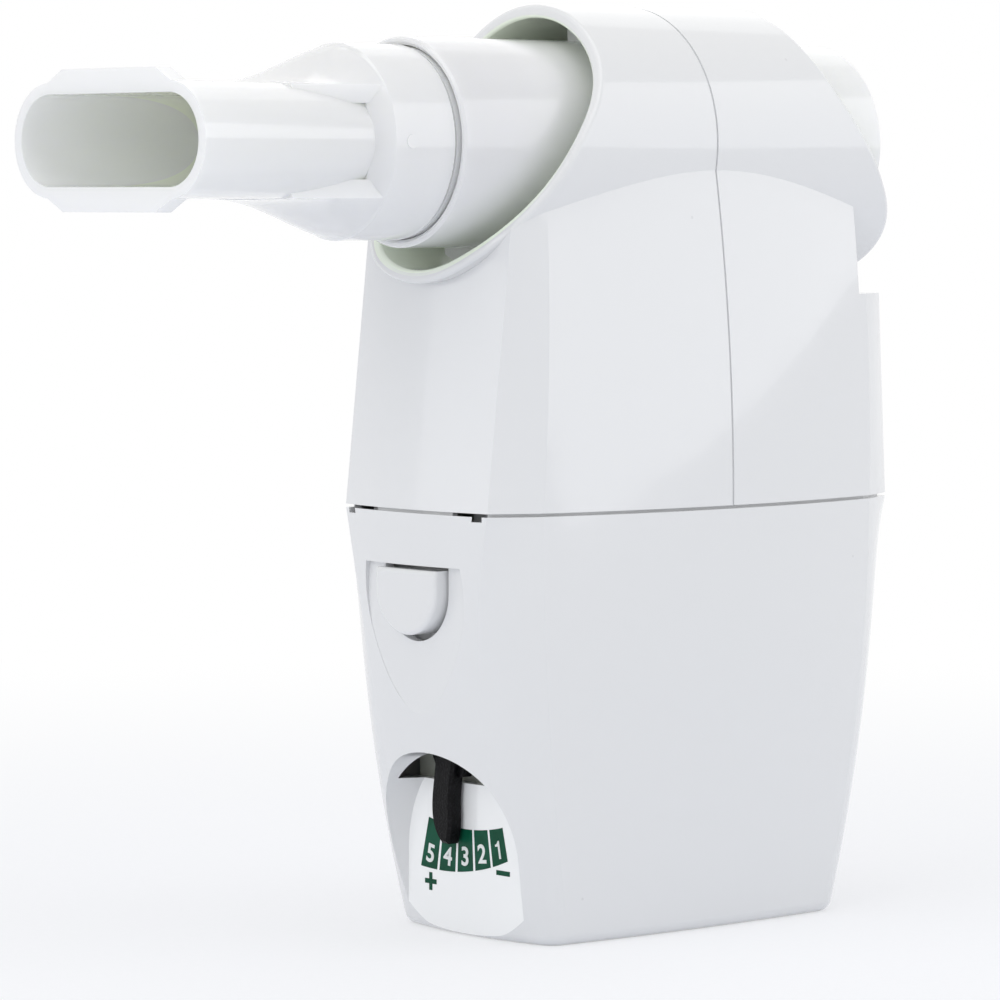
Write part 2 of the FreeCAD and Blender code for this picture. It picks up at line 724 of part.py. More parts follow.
# Mouthpiece
def stem_solid(inset, x0):
    """The flat stem with round sides, which narrows evenly from the lips to the cone."""
    radius = lip_half_height - inset
    slope = (stem_end_half_width - lip_half_width) / (stem_end_x - lip_x)
    run = cone_front_x - x0
    front = lip_half_width + slope * (x0 - lip_x) - lip_half_height * math.hypot(1, slope)
    rear = front + slope * run
    flat = prism_z([(x0, -front), (cone_front_x, -rear), (cone_front_x, rear), (x0, front)],
                   tube_axis_z - radius, tube_axis_z + radius)
    span = block(x0, cone_front_x, -outside, outside, 0, outside)
    sides = []
    for side in (1, -1):
        along = point(1, side * slope, 0)
        start = point(x0, side * front, tube_axis_z) - along * run
        rod = Part.makeCylinder(radius, 3 * run * along.Length, start, along)
        sides.append(rod.common(span))
    return flat.multiFuse(sides).removeSplitter()


def cheek_solid(inset):
    """The raised cheeks that carry the flat stem up to the round cone, above and below."""
    low = lip_half_height - inset
    root = low - lip_half_height / 3
    half = cheek_half_width - inset
    first_rise = 0.15
    edge_drop = 0.05
    front_x = cone_front_x - cheek_length
    wires = []
    for x in spread(front_x, cone_front_x + cone_length / 5, 6):
        along = (x - front_x) / (cheek_length + cone_length / 5)
        ease = along * along * (3 - 2 * along)
        crown = low + first_rise + (cone_radius - inset - low - first_rise) * ease
        corners = [point(x, y, tube_axis_z + z) for y, z in (
            (-half, low - edge_drop), (0, crown), (half, low - edge_drop), (half, root), (-half, root))]
        arc = Part.Arc(*corners[:3]).toShape()
        rest = Part.makePolygon(corners[2:] + corners[:1])
        wires.append(Part.Wire([arc] + rest.Edges))
    top = Part.makeLoft(wires, True, False)
    return [top, turned(top, 180, tube_axis_z)]


def bite_wings():
    """Low ridges above and below the lips, for the teeth to hold."""
    root = lip_wing_root_half_width
    top = lip_wing_half_width
    wing = prism_x([(y, tube_axis_z + z) for y, z in (
        (-root, 0), (-root, lip_half_height), (-top, lip_wing_height),
        (top, lip_wing_height), (root, lip_half_height), (root, 0))], lip_x, lip_x + lip_length)
    return [wing, turned(wing, 180, tube_axis_z)]


def mouthpiece():
    """Flat lips with two bite wings, a narrowing stem, two cheeks and a round cone."""
    edge = tube_edge
    spigot_end_x = tube_front_x + spigot_depth
    tip_radius = socket_radius + socket_taper * (socket_depth - spigot_depth) - seat_gap
    root_radius = socket_radius + socket_taper * socket_depth - 2 * seat_gap
    cone = revolve_x([(cone_front_x - shoulder_length, 0),
                      (cone_front_x - shoulder_length, stem_end_half_width - open_gap),
                      (cone_front_x, cone_radius), (tube_front_x - open_gap - edge, cone_radius),
                      (tube_front_x - open_gap, cone_radius - edge),
                      (tube_front_x - open_gap, root_radius),
                      (spigot_end_x - edge, tip_radius), (spigot_end_x, tip_radius - edge),
                      (spigot_end_x, 0)], tube_axis_z)
    gate_x = cone_front_x + cone_length / 4
    gate = rod_y(gate_radius, -cone_radius - gate_rise, 0, gate_x, tube_axis_z)
    body = stem_solid(0.0, lip_x).multiFuse([cone, gate] + cheek_solid(0.0) + bite_wings())

    inner_radius = tip_radius - mouthpiece_wall
    bore = revolve_x([(cone_front_x - shoulder_length / 2, 0),
                      (cone_front_x - shoulder_length / 2, stem_end_half_width - mouthpiece_wall),
                      (cone_front_x + wall, inner_radius), (spigot_end_x + wall, inner_radius),
                      (spigot_end_x + wall, 0)], tube_axis_z)
    hollow = stem_solid(mouthpiece_wall, lip_x - wall).multiFuse([bore] + cheek_solid(mouthpiece_wall))
    return body.cut(hollow).removeSplitter()


# Latches
def front_latch():
    """A pressed latch: a D tab on a plate that turns on trunnions and carries two hooks."""
    outer_x = latch_plate_x()
    inner_x = outer_x + latch_plate_thickness
    middle = pivot_half_width - trunnion_length - open_gap
    arm_bottom_z = latch_pivot_z + latch_arm_rise
    plate = block(outer_x, inner_x, -middle, middle, latch_pivot_z, pocket_top_z + wall)
    pieces = [
        rod_y(latch_pivot_radius, -pivot_half_width, pivot_half_width, latch_pivot_x(), latch_pivot_z),
        block(outer_x, inner_x, -latch_half_width, latch_half_width, arm_bottom_z, pocket_top_z + wall),
    ]
    hook = prism_y([(outer_x - latch_hook_reach, latch_hook_z), (outer_x, latch_hook_z),
                    (outer_x, latch_top_z), (outer_x - open_gap, latch_top_z)], latch_half_width)
    for low, high in both_sides(latch_arm_inner, latch_half_width):
        arm = block(outer_x, inner_x, low, high, arm_bottom_z, latch_top_z)
        pieces += [arm, hook.common(block(-outside, inner_x, low, high, 0, outside))]
    face_x = -lower_sizes(tab_top_z)[0] - tab_face_rise
    tab = Part.Face(tab_outline(face_x, 0, 0, 0)).extrude(point(outer_x - face_x, 0, 0))
    tab = tab.makeFillet(tab_edge_radius, edges_where(tab, lambda b: b.XMax < face_x + 0.01))
    return plate.multiFuse(pieces + [tab]).removeSplitter()


# Resistance lever
def lever_finger():
    """The finger in front of the scale: a slight S with a narrow tip and bevelled front edges."""
    back_x = recess_wall_x - finger_lift
    front_x = back_x - finger_thickness
    neck_z = shaft_z - lever_neck_radius
    tip_z = shaft_z - lever_tip_radius
    reach = lever_tip_radius - lever_neck_radius
    top_z = neck_z + 0.16 * reach
    heights = [top_z] + [neck_z - reach * share for share in (0.21, 0.54, 0.8)] + [tip_z]
    left = list(zip((2.0, 1.8, 2.0, 1.5, -0.1), heights))
    right = list(zip((-2.0, -1.6, -1.5, -1.7, -1.3), heights))
    sides = []
    for run in (left, right[::-1]):
        curve = Part.BSplineCurve()
        curve.interpolate([point(front_x, y, z) for y, z in run])
        sides.append(curve.toShape())
    tip = Part.makeLine(point(front_x, *left[-1]), point(front_x, *right[-1]))
    root = Part.makeLine(point(front_x, *right[0]), point(front_x, *left[0]))
    finger = Part.Face(Part.Wire([sides[0], tip, sides[1], root])).extrude(point(finger_thickness, 0, 0))
    bevel = 0.35
    return finger.makeChamfer(bevel, edges_where(finger, lambda b: b.XMax < front_x + 0.01 and b.ZMin < top_z - 1))


def resistance_lever():
    """A barrel valve with its journal, hub and arm, and the finger that shows on the scale."""
    barrel_front = chamber_front_x + chamber_wall + open_gap
    barrel_back = bulkhead_x - open_gap
    hub_back = chamber_front_x - open_gap
    barrel = rod_x(barrel_radius, barrel_front, barrel_back, 0, shaft_z)
    barrel = barrel.cut(rod_x(barrel_radius - barrel_wall, barrel_front + barrel_lid, outside, 0, shaft_z))
    window_half_length = 4.6
    window_half_width = 5.2
    centre = rod_x(journal_radius, -outside, outside, 0, shaft_z)
    window = block(port_x - window_half_length, port_x + window_half_length,
                   -window_half_width, window_half_width, 0, outside)
    barrel = barrel.cut(window.cut(centre))
    journal = rod_x(journal_radius, hub_back - wall, barrel_front + open_gap, 0, shaft_z)
    hub = rod_x(journal_radius + wall, lever_front_x, hub_back, 0, shaft_z)

    # Arm from the hub down to the recess, then the finger stepped forward in front of the scale
    neck_z = shaft_z - lever_neck_radius
    arm_half = 3.0
    toe_half = 2.0
    toe_z = neck_z - 2.2
    arm = prism_x([(-arm_half, shaft_z - toe_half), (arm_half, shaft_z - toe_half), (neck_half_width, neck_z),
                   (toe_half, toe_z), (-toe_half, toe_z), (-neck_half_width, neck_z)],
                  lever_front_x, lever_front_x + lever_thickness)
    lever = barrel.multiFuse([journal, hub, arm, lever_finger()])
    lever = lever.cut(rod_x(shaft_radius + running_gap, barrel_front - 2 * shaft_radius - 2 * open_gap,
                            outside, 0, shaft_z))
    return turned(lever, lever_setting).removeSplitter()


# Oscillator chamber
def plenum_profile(inset):
    """Side view of the lower chamber, with its sloped rear."""
    slope_length = 5.7
    return [(chamber_front_x + inset, chamber_bottom_z + inset),
            (chamber_rear_x - slope_length - 0.7 * inset, chamber_bottom_z + inset),
            (chamber_rear_x - inset, plenum_roof_z),
            (chamber_rear_x - inset, shaft_z), (chamber_front_x + inset, shaft_z)]


def chamber_bores():
    """The bores that both chamber halves share."""
    front_in = chamber_front_x + chamber_wall
    return [
        rod_x(barrel_bore_radius, front_in, bulkhead_x, 0, shaft_z),
        rod_x(journal_radius + running_gap, chamber_front_x - wall, front_in + wall, 0, shaft_z),
        rod_x(bush_radius + seat_gap, bulkhead_x - wall, bulkhead_x + 2 * bulkhead_thickness, 0, shaft_z),
        rod_x(bush_radius + seat_gap, chamber_rear_x - 2 * chamber_wall, outside, 0, shaft_z),
    ]


def seal_strips(grow):
    """The two sealing strips between the chamber halves."""
    inner = chamber_half_width + 4 * seat_gap
    strip = block(chamber_front_x + seal_front_inset - grow, chamber_rear_x - seal_rear_inset + grow,
                  inner - grow, inner + seal_width + grow,
                  shaft_z - seal_height / 2, shaft_z + seal_height / 2)
    return Part.makeCompound([strip, mirrored_y(strip)])


def chamber_flange(z0, z1):
    """The flange along both long sides of a chamber half."""
    margin = 1.0
    flange = block(chamber_front_x + seal_front_inset - margin, chamber_rear_x - seal_rear_inset + margin,
                   chamber_half_width - margin, chamber_half_width + flange_width, z0, z1)
    return [flange, mirrored_y(flange)]


def chamber_lower():
    """The lower half: front well, plenum, nozzle seat and the lower half of the vane room."""
    heel_radius = 2.0
    half = chamber_half_width - chamber_wall
    body = prism_y(plenum_profile(0.0), chamber_half_width)
    heels = edges_where(body, lambda b: b.ZMax < chamber_bottom_z + 0.01 and b.YLength < 0.01)
    body = body.makeFillet(heel_radius, heels)
    body = body.multiFuse(chamber_flange(shaft_z - flange_thickness, shaft_z))
    inner = prism_y(plenum_profile(chamber_wall), half)
    below_bore = shaft_z - barrel_bore_radius - chamber_wall
    front_well = inner.common(block(-outside, bulkhead_x, -outside, outside, 0, below_bore))
    rear_well = inner.common(block(bulkhead_x - wall, outside, -outside, outside, 0, plenum_roof_z))
    vane_room = block(bulkhead_x + bulkhead_thickness, chamber_rear_x - chamber_wall, -half, half,
                      plenum_roof_z + chamber_wall, shaft_z + wall)
    drop_half = port_radius - 0.2
    drop = block(port_x - drop_half, port_x + drop_half, -port_radius, port_radius, below_bore - wall,
                 shaft_z - journal_radius)
    seat = rod_z(nozzle_radius + seat_gap, plenum_roof_z - wall, plenum_roof_z + 2 * wall, nozzle_x)
    cuts = [front_well, rear_well, vane_room, drop, seat, seal_strips(seat_gap)] + chamber_bores()
    return body.cut(Part.makeCompound(cuts)).removeSplitter()


def chamber_upper():
    """The upper half: inlet neck, upper half of the barrel bore and vane room, and outlets."""
    half = chamber_half_width - chamber_wall
    front_roof = shaft_z + barrel_bore_radius + chamber_wall
    body = prism_y([(chamber_front_x, shaft_z), (chamber_rear_x, shaft_z), (chamber_rear_x, chamber_roof_z),
                    (bulkhead_x, chamber_roof_z), (bulkhead_x - 2 * wall, front_roof),
                    (chamber_front_x, front_roof)], chamber_half_width)
    neck_top = port_end_z + gasket_height
    neck = rod_z(gasket_radius + chamber_wall, front_roof - wall, neck_top, port_x)
    body = body.multiFuse([neck] + chamber_flange(shaft_z, shaft_z + flange_thickness))
    vane_room = block(bulkhead_x + bulkhead_thickness, chamber_rear_x - chamber_wall, -half, half,
                      shaft_z - wall, chamber_roof_z - chamber_wall)
    outlet_inset = 5.0
    outlet_bottom_z = shaft_z + journal_radius
    outlets = block(bulkhead_x + outlet_inset, chamber_rear_x - outlet_inset, -outside, outside,
                    outlet_bottom_z, chamber_roof_z - 2 * wall)
    rise = rod_z(port_radius, outlet_bottom_z, neck_top, port_x)
    socket = rod_z(gasket_radius, port_end_z - gasket_wall, neck_top + wall, port_x)
    cuts = [vane_room, outlets, rise, socket, seal_strips(seat_gap)] + chamber_bores()
    return body.cut(Part.makeCompound(cuts)).removeSplitter()


def tube_gasket():
    """A ring between the tube's port and the neck of the chamber."""
    outer = gasket_radius - seat_gap
    inner = port_radius + port_wall + seat_gap
    ring = rod_z(outer, port_end_z - gasket_wall, port_end_z + gasket_height, port_x)
    ring = ring.cut(rod_z(inner, port_end_z, outside, port_x))
    return ring.cut(rod_z(port_radius, 0, outside, port_x)).removeSplitter()


def shaft_bush(x0, x1):
    """A plain bush for the rotor shaft."""
    bush = rod_x(bush_radius, x0, x1, 0, shaft_z)
    return bush.cut(rod_x(shaft_radius + running_gap, x0 - wall, x1 + wall, 0, shaft_z))


def bulkhead_bush():
    """The bush in the wall between the barrel and the vane room."""
    return shaft_bush(bulkhead_x, bulkhead_x + bulkhead_thickness)


def rear_bush():
    """The bush in the rear wall, with a cap that closes the end of the shaft's hole."""
    bush = shaft_bush(chamber_rear_x - chamber_wall, chamber_rear_x)
    cap = rod_x(bush_radius + bush_cap_width, chamber_rear_x, chamber_rear_x + bush_cap_thickness, 0, shaft_z)
    cap = cap.cut(rod_x(shaft_radius + running_gap, 0, chamber_rear_x + bush_cap_thickness / 2, 0, shaft_z))
    return bush.fuse(cap).removeSplitter()


# Rotor
def rotor_shaft():
    """The shaft that carries the restrictor and the vane."""
    front = chamber_front_x + chamber_wall + open_gap - 2 * shaft_radius
    back = chamber_rear_x + bush_cap_thickness / 2 - open_gap
    shaft = rod_x(shaft_radius, front, back, 0, shaft_z)
    return shaft.makeChamfer(shaft_radius / 5, edges_where(shaft, lambda b: b.XLength < 0.01))


def vane():
    """A flat vane on a hub, which the air from the nozzle swings from side to side."""
    x0 = bulkhead_x + bulkhead_thickness + open_gap
    x1 = chamber_rear_x - chamber_wall - open_gap
    hub = rod_x(hub_radius, x0, x1, 0, shaft_z)
    tip = shaft_z - vane_reach
    root_half = vane_thickness / 2
    edge_half = vane_thickness / 5
    blade = prism_x([(-root_half, shaft_z), (-edge_half, tip + edge_half), (-edge_half / 2, tip),
                     (edge_half / 2, tip), (edge_half, tip + edge_half), (root_half, shaft_z)],
                    x0 + open_gap, x1 - open_gap)
    weight_inset = 3.0
    weight = block(x0 + weight_inset, x1 - weight_inset, -hub_wall, hub_wall, shaft_z, shaft_z + 2 * hub_radius)
    body = hub.multiFuse([blade, weight])
    return body.cut(rod_x(shaft_radius, -outside, outside, 0, shaft_z)).removeSplitter()


def restrictor():
    """A butterfly plate in the barrel, set off square from the vane."""
    x0 = chamber_front_x + chamber_wall + barrel_lid + 2 * open_gap
    x1 = bulkhead_x - 2 * open_gap
    reach = barrel_radius - barrel_wall - 4 * running_gap
    plate_half = 1.2
    hub = rod_x(hub_radius, x0, x1, 0, shaft_z)
    plate = block(x0 + open_gap, x1 - open_gap, -reach, reach, shaft_z - plate_half, shaft_z + plate_half)
    plate = plate.common(rod_x(reach, x0, x1, 0, shaft_z))
    body = hub.fuse(plate).cut(rod_x(shaft_radius, -outside, outside, 0, shaft_z))
    return turned(body, restrictor_twist).removeSplitter()


# Nozzle
def duckbill(inset, low, high):
    """A round stem that two slanted flats bring down to a narrow lip."""
    radius = nozzle_radius - inset
    lip = nozzle_lip_half_width - inset / 2
    flats = prism_x([(-radius, low), (-lip, high), (lip, high), (radius, low)], -outside, outside)
    return rod_z(radius, low, high, nozzle_x).common(flats)


def variable_nozzle():
    """A soft duckbill: a flange below the floor, and two lips that the breath spreads apart."""
    bill_bottom_z = plenum_roof_z + chamber_wall + open_gap
    lips_z = shaft_z - vane_reach - 2 * open_gap
    flange = rod_z(nozzle_radius + nozzle_flange, plenum_roof_z - nozzle_flange_thickness, plenum_roof_z, nozzle_x)
    stem = rod_z(nozzle_radius, plenum_roof_z - open_gap, bill_bottom_z, nozzle_x)
    body = flange.multiFuse([stem, duckbill(0.0, bill_bottom_z, lips_z)])
    hollow = rod_z(nozzle_radius - nozzle_wall, 0, bill_bottom_z, nozzle_x)
    return body.cut(hollow).cut(duckbill(nozzle_wall, bill_bottom_z, lips_z)).removeSplitter()


def nozzle_retainer():
    """A ring that clamps the nozzle's flange against the floor of the vane room."""
    rim = nozzle_flange + seat_gap
    low = plenum_roof_z - nozzle_flange_thickness - bush_cap_width
    ring = rod_z(nozzle_radius + rim + chamber_wall, low, plenum_roof_z, nozzle_x)
    ring = ring.cut(rod_z(nozzle_radius + rim, plenum_roof_z - nozzle_flange_thickness, outside, nozzle_x))
    return ring.cut(rod_z(nozzle_radius - nozzle_wall, 0, outside, nozzle_x)).removeSplitter()


# Inhalation valve
def valve_seat():
    """A spoked ring in the rear of the tube, with two ears for the flap's trunnions."""
    back = valve_x + valve_seat_thickness
    outer = tube_bore_radius - seat_gap
    ring = rod_x(outer, valve_x, back, 0, tube_axis_z)
    ring = ring.cut(rod_x(outer - valve_ring_width, -outside, outside, 0, tube_axis_z))
    spoke_half = 0.5
    rest = [rod_x(3 * spoke_half, valve_x, back, 0, tube_axis_z)]
    turn = 360 / valve_spoke_count
    for index in range(valve_spoke_count):
        spoke = block(valve_x, back, -spoke_half, spoke_half, tube_axis_z, tube_axis_z + outer - spoke_half)
        rest.append(turned(spoke, turn * (index + 0.5), tube_axis_z))
    inside = rod_x(outer, -outside, outside, 0, tube_axis_z)
    for low, high in both_sides(flap_half_width + open_gap, flap_pin_half_length + open_gap):
        ear = block(valve_x - 2 * flap_pin_x, valve_x, low, high,
                    valve_hinge_z - 2 * flap_pin_radius, valve_hinge_z + 2 * flap_pin_radius)
        rest.append(ear.common(inside))
    hole = rod_y(flap_pin_radius + running_gap, -outside, outside, valve_x - flap_pin_x, valve_hinge_z)
    return ring.multiFuse(rest).cut(hole).removeSplitter()


def valve_flap():
    """A thin flap that opens towards the mouthpiece on trunnions at its top edge."""
    back = valve_x - 4 * running_gap
    disc = rod_x(flap_radius, back - flap_thickness, back, 0, tube_axis_z)
    trim = 0.2
    shoulder_drop = 1.2
    disc = disc.cut(block(-outside, outside, -outside, outside, valve_hinge_z - trim, outside))
    for low, high in both_sides(flap_half_width, outside):
        disc = disc.cut(block(-outside, outside, low, high, valve_hinge_z - shoulder_drop, outside))
    x = valve_x - flap_pin_x
    bead = rod_y(flap_pin_radius + 3 * running_gap, -flap_half_width, flap_half_width, x, valve_hinge_z)
    pins = rod_y(flap_pin_radius, -flap_pin_half_length, flap_pin_half_length, x, valve_hinge_z)
    return disc.multiFuse([bead, pins]).removeSplitter()


def build():
    """Every sub-part by its name."""
    shell_front, shell_rear = upper_shells()
    latch = front_latch()
    return {
        "lower_casing": lower_casing(),
        "upper_casing_front": shell_front,
        "upper_casing_rear": shell_rear,
        "breathing_tube": breathing_tube(),
        "mouthpiece": mouthpiece(),
        "front_latch": latch,
        "rear_latch": mirrored_x(latch),
        "resistance_lever": resistance_lever(),
        "chamber_lower": chamber_lower(),
        "chamber_upper": chamber_upper(),
        "chamber_seal": seal_strips(0.0),
        "tube_gasket": tube_gasket(),
        "bulkhead_bush": bulkhead_bush(),
        "rear_bush": rear_bush(),
        "rotor_shaft": rotor_shaft(),
        "vane": vane(),
        "restrictor": restrictor(),
        "variable_nozzle": variable_nozzle(),
        "nozzle_retainer": nozzle_retainer(),
        "valve_seat": valve_seat(),
        "valve_flap": valve_flap(),
    }


os.makedirs("parts", exist_ok=True)
for name, shape in build().items():
    shape.exportStep("parts/" + name + ".step")
    box = shape.BoundBox
    print(name, len(shape.Solids), shape.isValid(), round(shape.Volume, 1),
          [round(v, 1) for v in (box.XMin, box.XMax, box.YMin, box.YMax, box.ZMin, box.ZMax)])
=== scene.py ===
"""A white oscillating positive expiratory pressure device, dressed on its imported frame."""
import logging
import math
from dataclasses import dataclass, field
from enum import Enum

import bmesh
import bpy
from mathutils import Matrix, Quaternion, Vector


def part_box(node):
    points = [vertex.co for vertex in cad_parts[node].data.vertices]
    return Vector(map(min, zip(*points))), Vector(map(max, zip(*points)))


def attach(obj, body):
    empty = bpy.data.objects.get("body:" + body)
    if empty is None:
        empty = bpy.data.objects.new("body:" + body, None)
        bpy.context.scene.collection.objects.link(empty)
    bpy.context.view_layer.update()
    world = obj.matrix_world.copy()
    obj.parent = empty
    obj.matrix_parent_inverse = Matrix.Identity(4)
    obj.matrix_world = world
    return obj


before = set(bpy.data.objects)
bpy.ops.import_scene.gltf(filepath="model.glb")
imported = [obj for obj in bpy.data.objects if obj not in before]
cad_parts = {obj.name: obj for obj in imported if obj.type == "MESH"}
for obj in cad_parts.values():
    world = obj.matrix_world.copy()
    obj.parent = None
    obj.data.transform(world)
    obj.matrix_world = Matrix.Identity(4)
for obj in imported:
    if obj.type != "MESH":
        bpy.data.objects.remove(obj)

log = logging.getLogger("expiratory_device")

MM = 0.001
Colour = tuple[float, float, float, float]
Socket = bpy.types.NodeSocket
Sockets = bpy.types.bpy_prop_collection
Point = tuple[float, float]


def display(red: int, green: int, blue: int) -> Colour:
    """Turns a display colour into the linear colour that a shader takes, by the sRGB curve.

    Args:
        red: Red, from 0 to 255.
        green: Green, from 0 to 255.
        blue: Blue, from 0 to 255.

    Returns:
        The linear colour with full alpha.
    """
    parts = [value / 255 for value in (red, green, blue)]
    return (*[c / 12.92 if c <= 0.04045 else ((c + 0.055) / 1.055) ** 2.4 for c in parts], 1.0)


def dimmed(colour: Colour, share: float) -> Colour:
    """Returns a colour at a share of its brightness, with full alpha."""
    return tuple(share * value for value in colour[:3]) + (1.0,)


class Rider(Enum):
    """The bodies that a new piece can ride on."""

    DEVICE = "device"


class Op(Enum):
    """The operations of the Math nodes."""

    ADD = "ADD"
    SUBTRACT = "SUBTRACT"
    MULTIPLY = "MULTIPLY"
    DIVIDE = "DIVIDE"
    LARGER = "MAXIMUM"
    BELOW = "LESS_THAN"
    ABOVE = "GREATER_THAN"
    ROOT = "SQRT"
    SIZE = "ABSOLUTE"


class Graph:
    """Adds nodes to a tree and links them."""

    mix_factor = 0
    mix_first_colour = 6
    mix_second_colour = 7
    mix_colour_result = 2

    def __init__(self, tree: bpy.types.NodeTree) -> None:
        """Keeps the tree that the nodes go into."""
        self.tree = tree

    def add(self, kind: str, **settings: object) -> bpy.types.Node:
        """Adds a node.

        Args:
            kind: The node's type, without the words ShaderNode.
            **settings: Properties to set on the node.

        Returns:
            The new node.
        """
        node = self.tree.nodes.new("ShaderNode" + kind)
        for name, value in settings.items():
            setattr(node, name, value)
        return node

    def feed(self, value: object, socket: Socket) -> None:
        """Links a socket to another, or sets a plain value on it.

        Args:
            value: An output socket, or the plain value.
            socket: The input socket.
        """
        if isinstance(value, bpy.types.NodeSocket):
            self.tree.links.new(value, socket)
        else:
            socket.default_value = value

    def math(self, operation: Op, first: object, second: object = 0.0, clamp: bool = False) -> Socket:
        """Adds a Math node.

        Args:
            operation: The operation.
            first: A socket or a number.
            second: A socket or a number.
            clamp: Whether the result stays between 0 and 1.

        Returns:
            The result's socket.
        """
        node = self.add("Math", operation=operation.value, use_clamp=clamp)
        self.feed(first, node.inputs[0])
        self.feed(second, node.inputs[1])
        return node.outputs[0]

    def ramp(self, value: object, low: float, high: float) -> Socket:
        """Maps a value smoothly from low..high to 0..1.

        Args:
            value: The value's socket.
            low: The value that becomes 0.
            high: The value that becomes 1.

        Returns:
            The result's socket.
        """
        node = self.add("MapRange", interpolation_type="SMOOTHSTEP")
        self.feed(value, node.inputs["Value"])
        node.inputs["From Min"].default_value = low
        node.inputs["From Max"].default_value = high
        return node.outputs["Result"]

    def mix(self, factor: object, first: object, second: object) -> Socket:
        """Mixes two colours.

        Args:
            factor: The share of the second colour.
            first: The first colour or its socket.
            second: The second colour or its socket.

        Returns:
            The result's socket.
        """
        node = self.add("Mix", data_type="RGBA")
        self.feed(factor, node.inputs[self.mix_factor])
        self.feed(first, node.inputs[self.mix_first_colour])
        self.feed(second, node.inputs[self.mix_second_colour])
        return node.outputs[self.mix_colour_result]

    def noise(self, where: Socket, scale: object, detail: float) -> Socket:
        """Adds a noise texture.

        Args:
            where: The coordinates.
            scale: Its scale, a socket or a number.
            detail: How many finer layers it has.

        Returns:
            The socket of its value.
        """
        node = self.add("TexNoise", noise_dimensions="3D")
        self.feed(where, node.inputs["Vector"])
        self.feed(scale, node.inputs["Scale"])
        node.inputs["Detail"].default_value = detail
        return node.outputs["Fac"]

    def cells(self, where: Socket, scale: object) -> bpy.types.Node:
        """Adds a cell texture.

        Args:
            where: The coordinates.
            scale: Its scale, a socket or a number.

        Returns:
            The texture's node.
        """
        node = self.add("TexVoronoi", feature="F1")
        self.feed(where, node.inputs["Vector"])
        self.feed(scale, node.inputs["Scale"])
        return node

    def split(self, vector: Socket) -> Sockets:
        """Splits a vector or a colour.

        Args:
            vector: The vector's socket.

        Returns:
            The outputs X, Y and Z.
        """
        node = self.add("SeparateXYZ")
        self.feed(vector, node.inputs[0])
        return node.outputs


class EffectGroup:
    """A shared shading effect, built once as a node group."""

    name = ""
    inputs: dict[str, float] = {}
    outputs: tuple[str, ...] = ()

    @classmethod
    def tree(cls) -> bpy.types.NodeTree:
        """Builds the node group on its first use.

        Returns:
            The group, which every material shares.
        """
        known = bpy.data.node_groups.get(cls.name)
        if known:
            return known
        tree = bpy.data.node_groups.new(cls.name, "ShaderNodeTree")
        for label, value in cls.inputs.items():
            socket = tree.interface.new_socket(label, in_out="INPUT", socket_type="NodeSocketFloat")
            socket.default_value = value
        for label in cls.outputs:
            tree.interface.new_socket(label, in_out="OUTPUT", socket_type="NodeSocketFloat")
        source = tree.nodes.new("NodeGroupInput")
        sink = tree.nodes.new("NodeGroupOutput")
        cls.wire(Graph(tree), source.outputs, sink.inputs)
        return tree

    @classmethod
    def wire(cls, graph: Graph, given: Sockets, wanted: Sockets) -> None:
        """Fills the group's tree; each effect has its own."""
        raise NotImplementedError

    @classmethod
    def place(cls, graph: Graph, **values: float) -> Sockets:
        """Places the group in a material.

        Args:
            graph: The material's graph.
            **values: Input values, with underscores for the spaces in their names.

        Returns:
            The outputs of the group's node.
        """
        node = graph.add("Group", node_tree=cls.tree())
        for label, value in values.items():
            node.inputs[label.replace("_", " ")].default_value = value
        return node.outputs


class MouldedSkin(EffectGroup):
    """The faint ripple and the polish marks that a moulding takes from its tool."""

    name = "moulded_skin"
    inputs = {"Ripple Scale": 160.0, "Polish Scale": 1400.0}
    outputs = ("Height", "Roughness Shift")
    ripple_detail = 1.0
    polish_detail = 3.0
    polish_height = 0.06
    polish_swing = 0.5
    middle = 0.5

    @classmethod
    def wire(cls, graph: Graph, given: Sockets, wanted: Sockets) -> None:
        """Sums a broad ripple and a fine polish texture.

        Args:
            graph: The group's graph.
            given: The group's inputs.
            wanted: The group's outputs.
        """
        where = graph.add("TexCoord").outputs["Object"]
        ripple = graph.noise(where, given["Ripple Scale"], cls.ripple_detail)
        polish = graph.noise(where, given["Polish Scale"], cls.polish_detail)
        fine = graph.math(Op.MULTIPLY, polish, cls.polish_height)
        graph.feed(graph.math(Op.ADD, ripple, fine), wanted["Height"])
        swing = graph.math(Op.MULTIPLY, polish, cls.polish_swing)
        shift = graph.math(Op.SUBTRACT, swing, cls.polish_swing * cls.middle)
        sway = graph.math(Op.SUBTRACT, ripple, cls.middle)
        graph.feed(graph.math(Op.ADD, shift, sway), wanted["Roughness Shift"])


